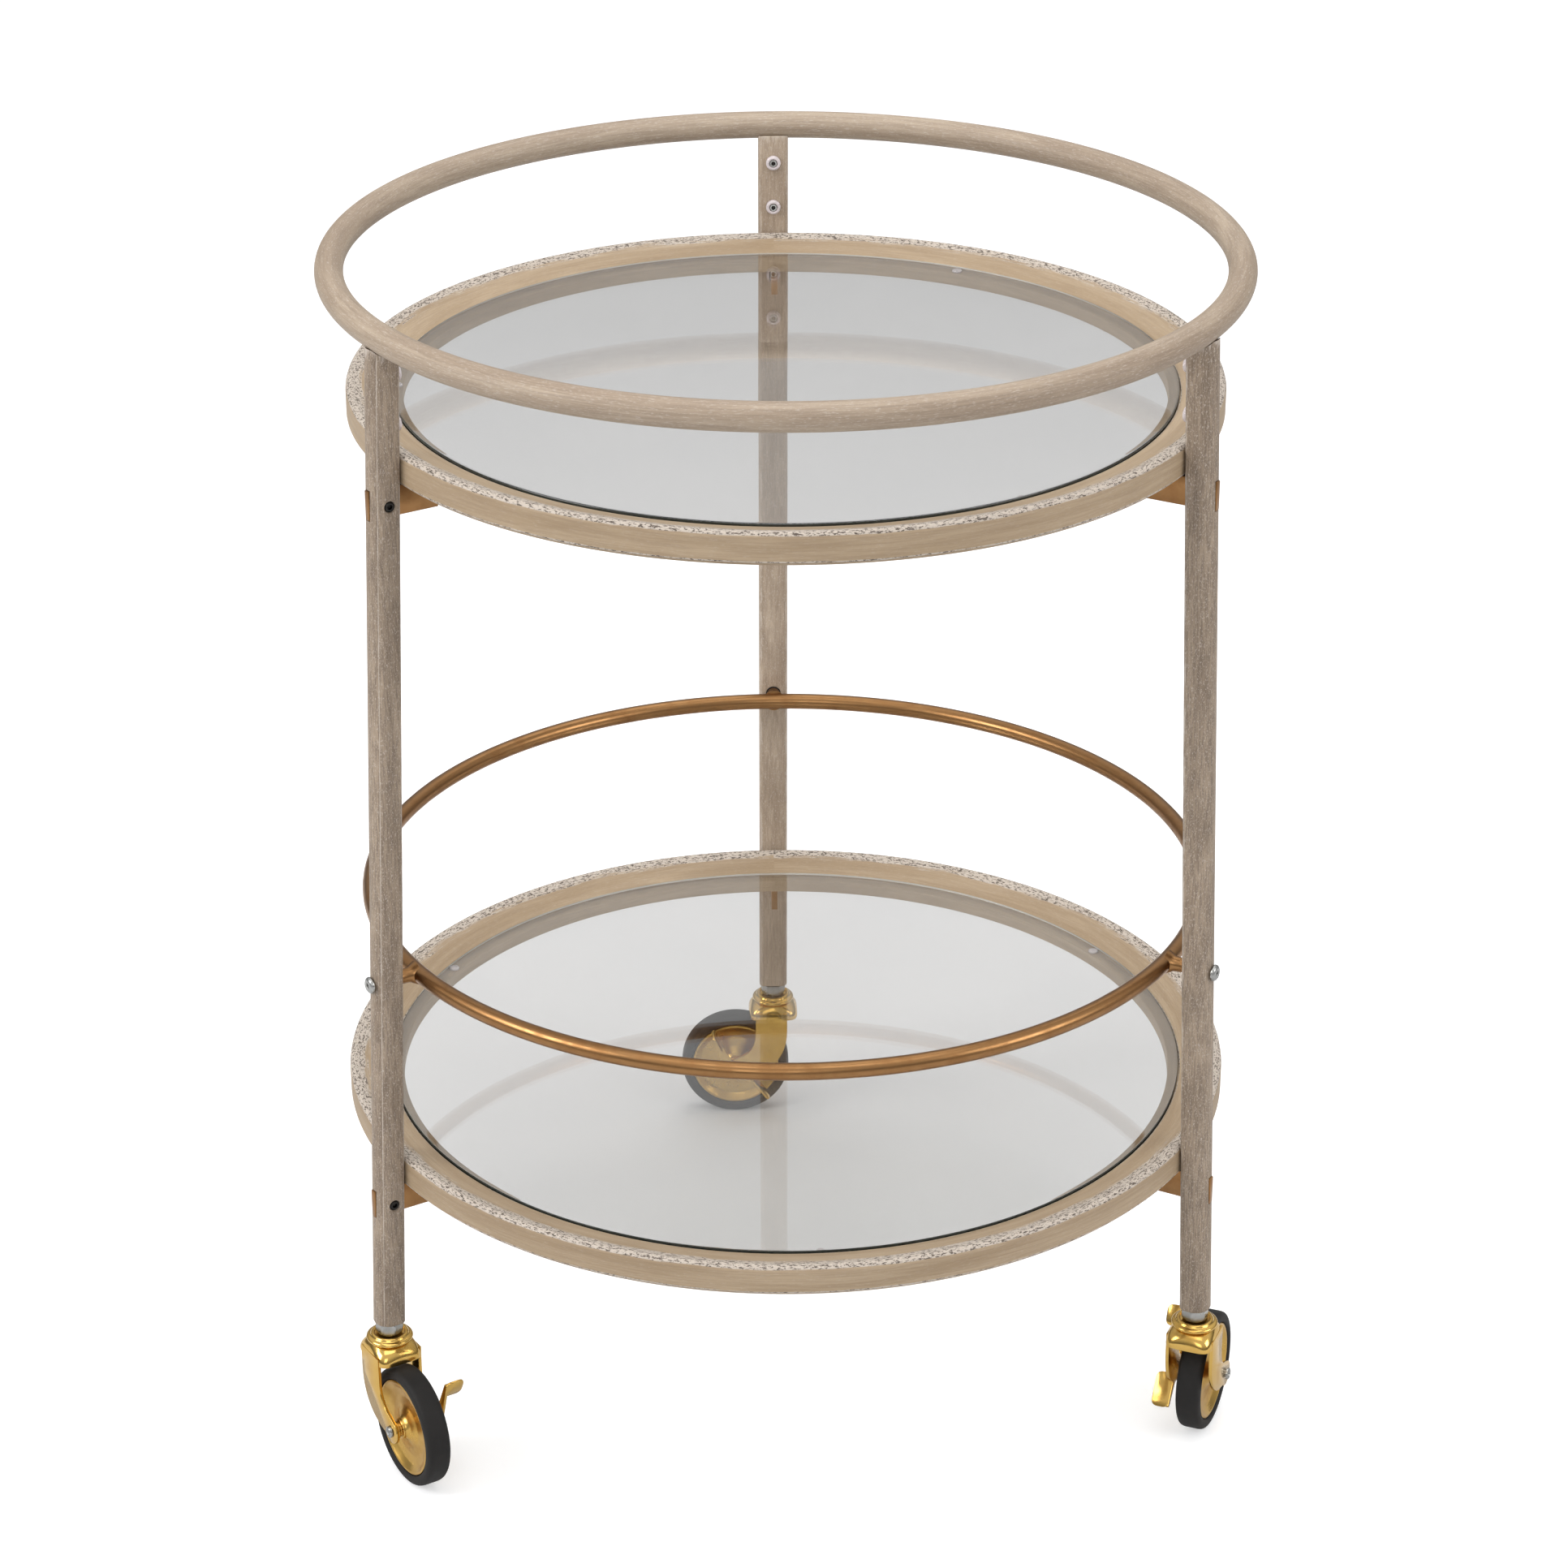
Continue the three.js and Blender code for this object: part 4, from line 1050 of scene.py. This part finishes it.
LEVER_FACE = FORK_HALF + GAP
rocker_outline = eased([(-12, -1), (-27, -21), (-23, -22), (-10, -9.5), (-2, -8.4), (6, -6), (10.5, 5),
                        (19.6, 35), (17.3, 37), (7, 16), (3, 8.4), (-5, 6.5)], 3.0, 5)
rocker_outline = [Vector((p.x + TRAIL, p.y + AXLE_HEIGHT)) for p in rocker_outline]
rocker = moved(plate("rocker", rocker_outline, -LEVER_FACE - 2, -LEVER_FACE, soft=0.4), UPRIGHT)
pedal = folded((-27, -21), (-12, -1), LEVER_FACE + 0.2, LEVER_FACE + 13, 1.8, 5)
flange = folded((7, 16), (12.5, 27.2), LEVER_FACE + 0.2, LEVER_FACE + 4, 1.8, 1.8)
leaf = folded((10.4, 23), (17.3, 37), LEVER_FACE + 0.2, LEVER_FACE + 15, 1.8, 5)
ribs = [folded((-23 + 3.4 * i, -15.7 + 4.5 * i), (-22.2 + 3.4 * i, -14.6 + 4.5 * i), LEVER_FACE + 3,
               LEVER_FACE + 9.5, 2.3, 0.5) for i in range(3)]
lever = combined("lever", [rocker, pedal, flange, leaf, *ribs])
on_casters("brake_rocker", lever, bright_brass, "brake", "bright_brass", "brake_lever")
print("lever:", len(lever.polygons), "faces")

# %% [markdown]
# ## Floor and lamps
# The floor is a pale sheet. A big lamp overhead, one at each side and a pale sky give soft
# shadows. The sky is darker near the horizon, so the polished brass has something dark to
# mirror and doesn't look like paint.

# %% Floor
def floor():
    mesh = bpy.data.meshes.new("floor")
    reach = 9.0
    mesh.from_pydata([(-reach, -reach, 0), (reach, -reach, 0), (reach, reach, 0), (-reach, reach, 0)],
                     [], [(0, 1, 2, 3)])
    sheet = bpy.data.objects.new("floor", mesh)
    bpy.context.scene.collection.objects.link(sheet)
    material, tree, shader, spot = finish("floor_paper", Roughness=0.9, Specular_IOR_Level=0.1)
    clouds = noise(tree, spot, scale=3.0, detail=3)
    tree.links.new(blend(tree, clouds, linear(222, 222, 223), linear(216, 216, 217)),
                   shader.inputs["Base Color"])
    shader.inputs["Emission Color"].default_value = (1, 1, 1, 1)
    seen = add(tree, "ShaderNodeLightPath").outputs["Is Camera Ray"]
    tree.links.new(calc(tree, "MULTIPLY", seen, 0.44), shader.inputs["Emission Strength"])
    mesh.materials.append(material)


floor()


# %% Lamps and sky
def lamp(name, power, size, at):
    data = bpy.data.lights.new(name, "AREA")
    data.energy, data.shape, data.size, data.size_y = power, "RECTANGLE", size, size
    light = bpy.data.objects.new(name, data)
    light.location = at
    light.rotation_euler = (Vector((0, 0, 0.45)) - Vector(at)).to_track_quat("-Z", "Y").to_euler()
    bpy.context.scene.collection.objects.link(light)


lamp("top_lamp", 34, 2.4, (0.0, -0.2, 3.2))
lamp("left_lamp", 60, 1.5, (-2.8, -1.0, 2.2))
lamp("right_lamp", 34, 1.5, (2.8, -1.4, 1.9))
lamp("front_lamp", 50, 2.6, (-0.8, -6.0, 3.4))
lamp("back_lamp", 10, 1.8, (0.6, 1.7, 3.4))


def sky():
    world = bpy.data.worlds.new("studio")
    bpy.context.scene.world = world
    world.use_nodes = True
    tree = world.node_tree
    way = add(tree, "ShaderNodeTexCoord").outputs["Generated"]
    up = add(tree, "ShaderNodeSeparateXYZ", None, Vector=way).outputs["Z"]
    glow = between(tree, up, -0.05, 0.75, 0.16, 0.95)
    shade = add(tree, "ShaderNodeCombineXYZ", None, X=glow, Y=glow, Z=glow).outputs[0]
    tree.links.new(shade, tree.nodes["Background"].inputs["Color"])
    tree.nodes["Background"].inputs["Strength"].default_value = 0.9


sky()

# %% The end
print("pieces:", len(made))
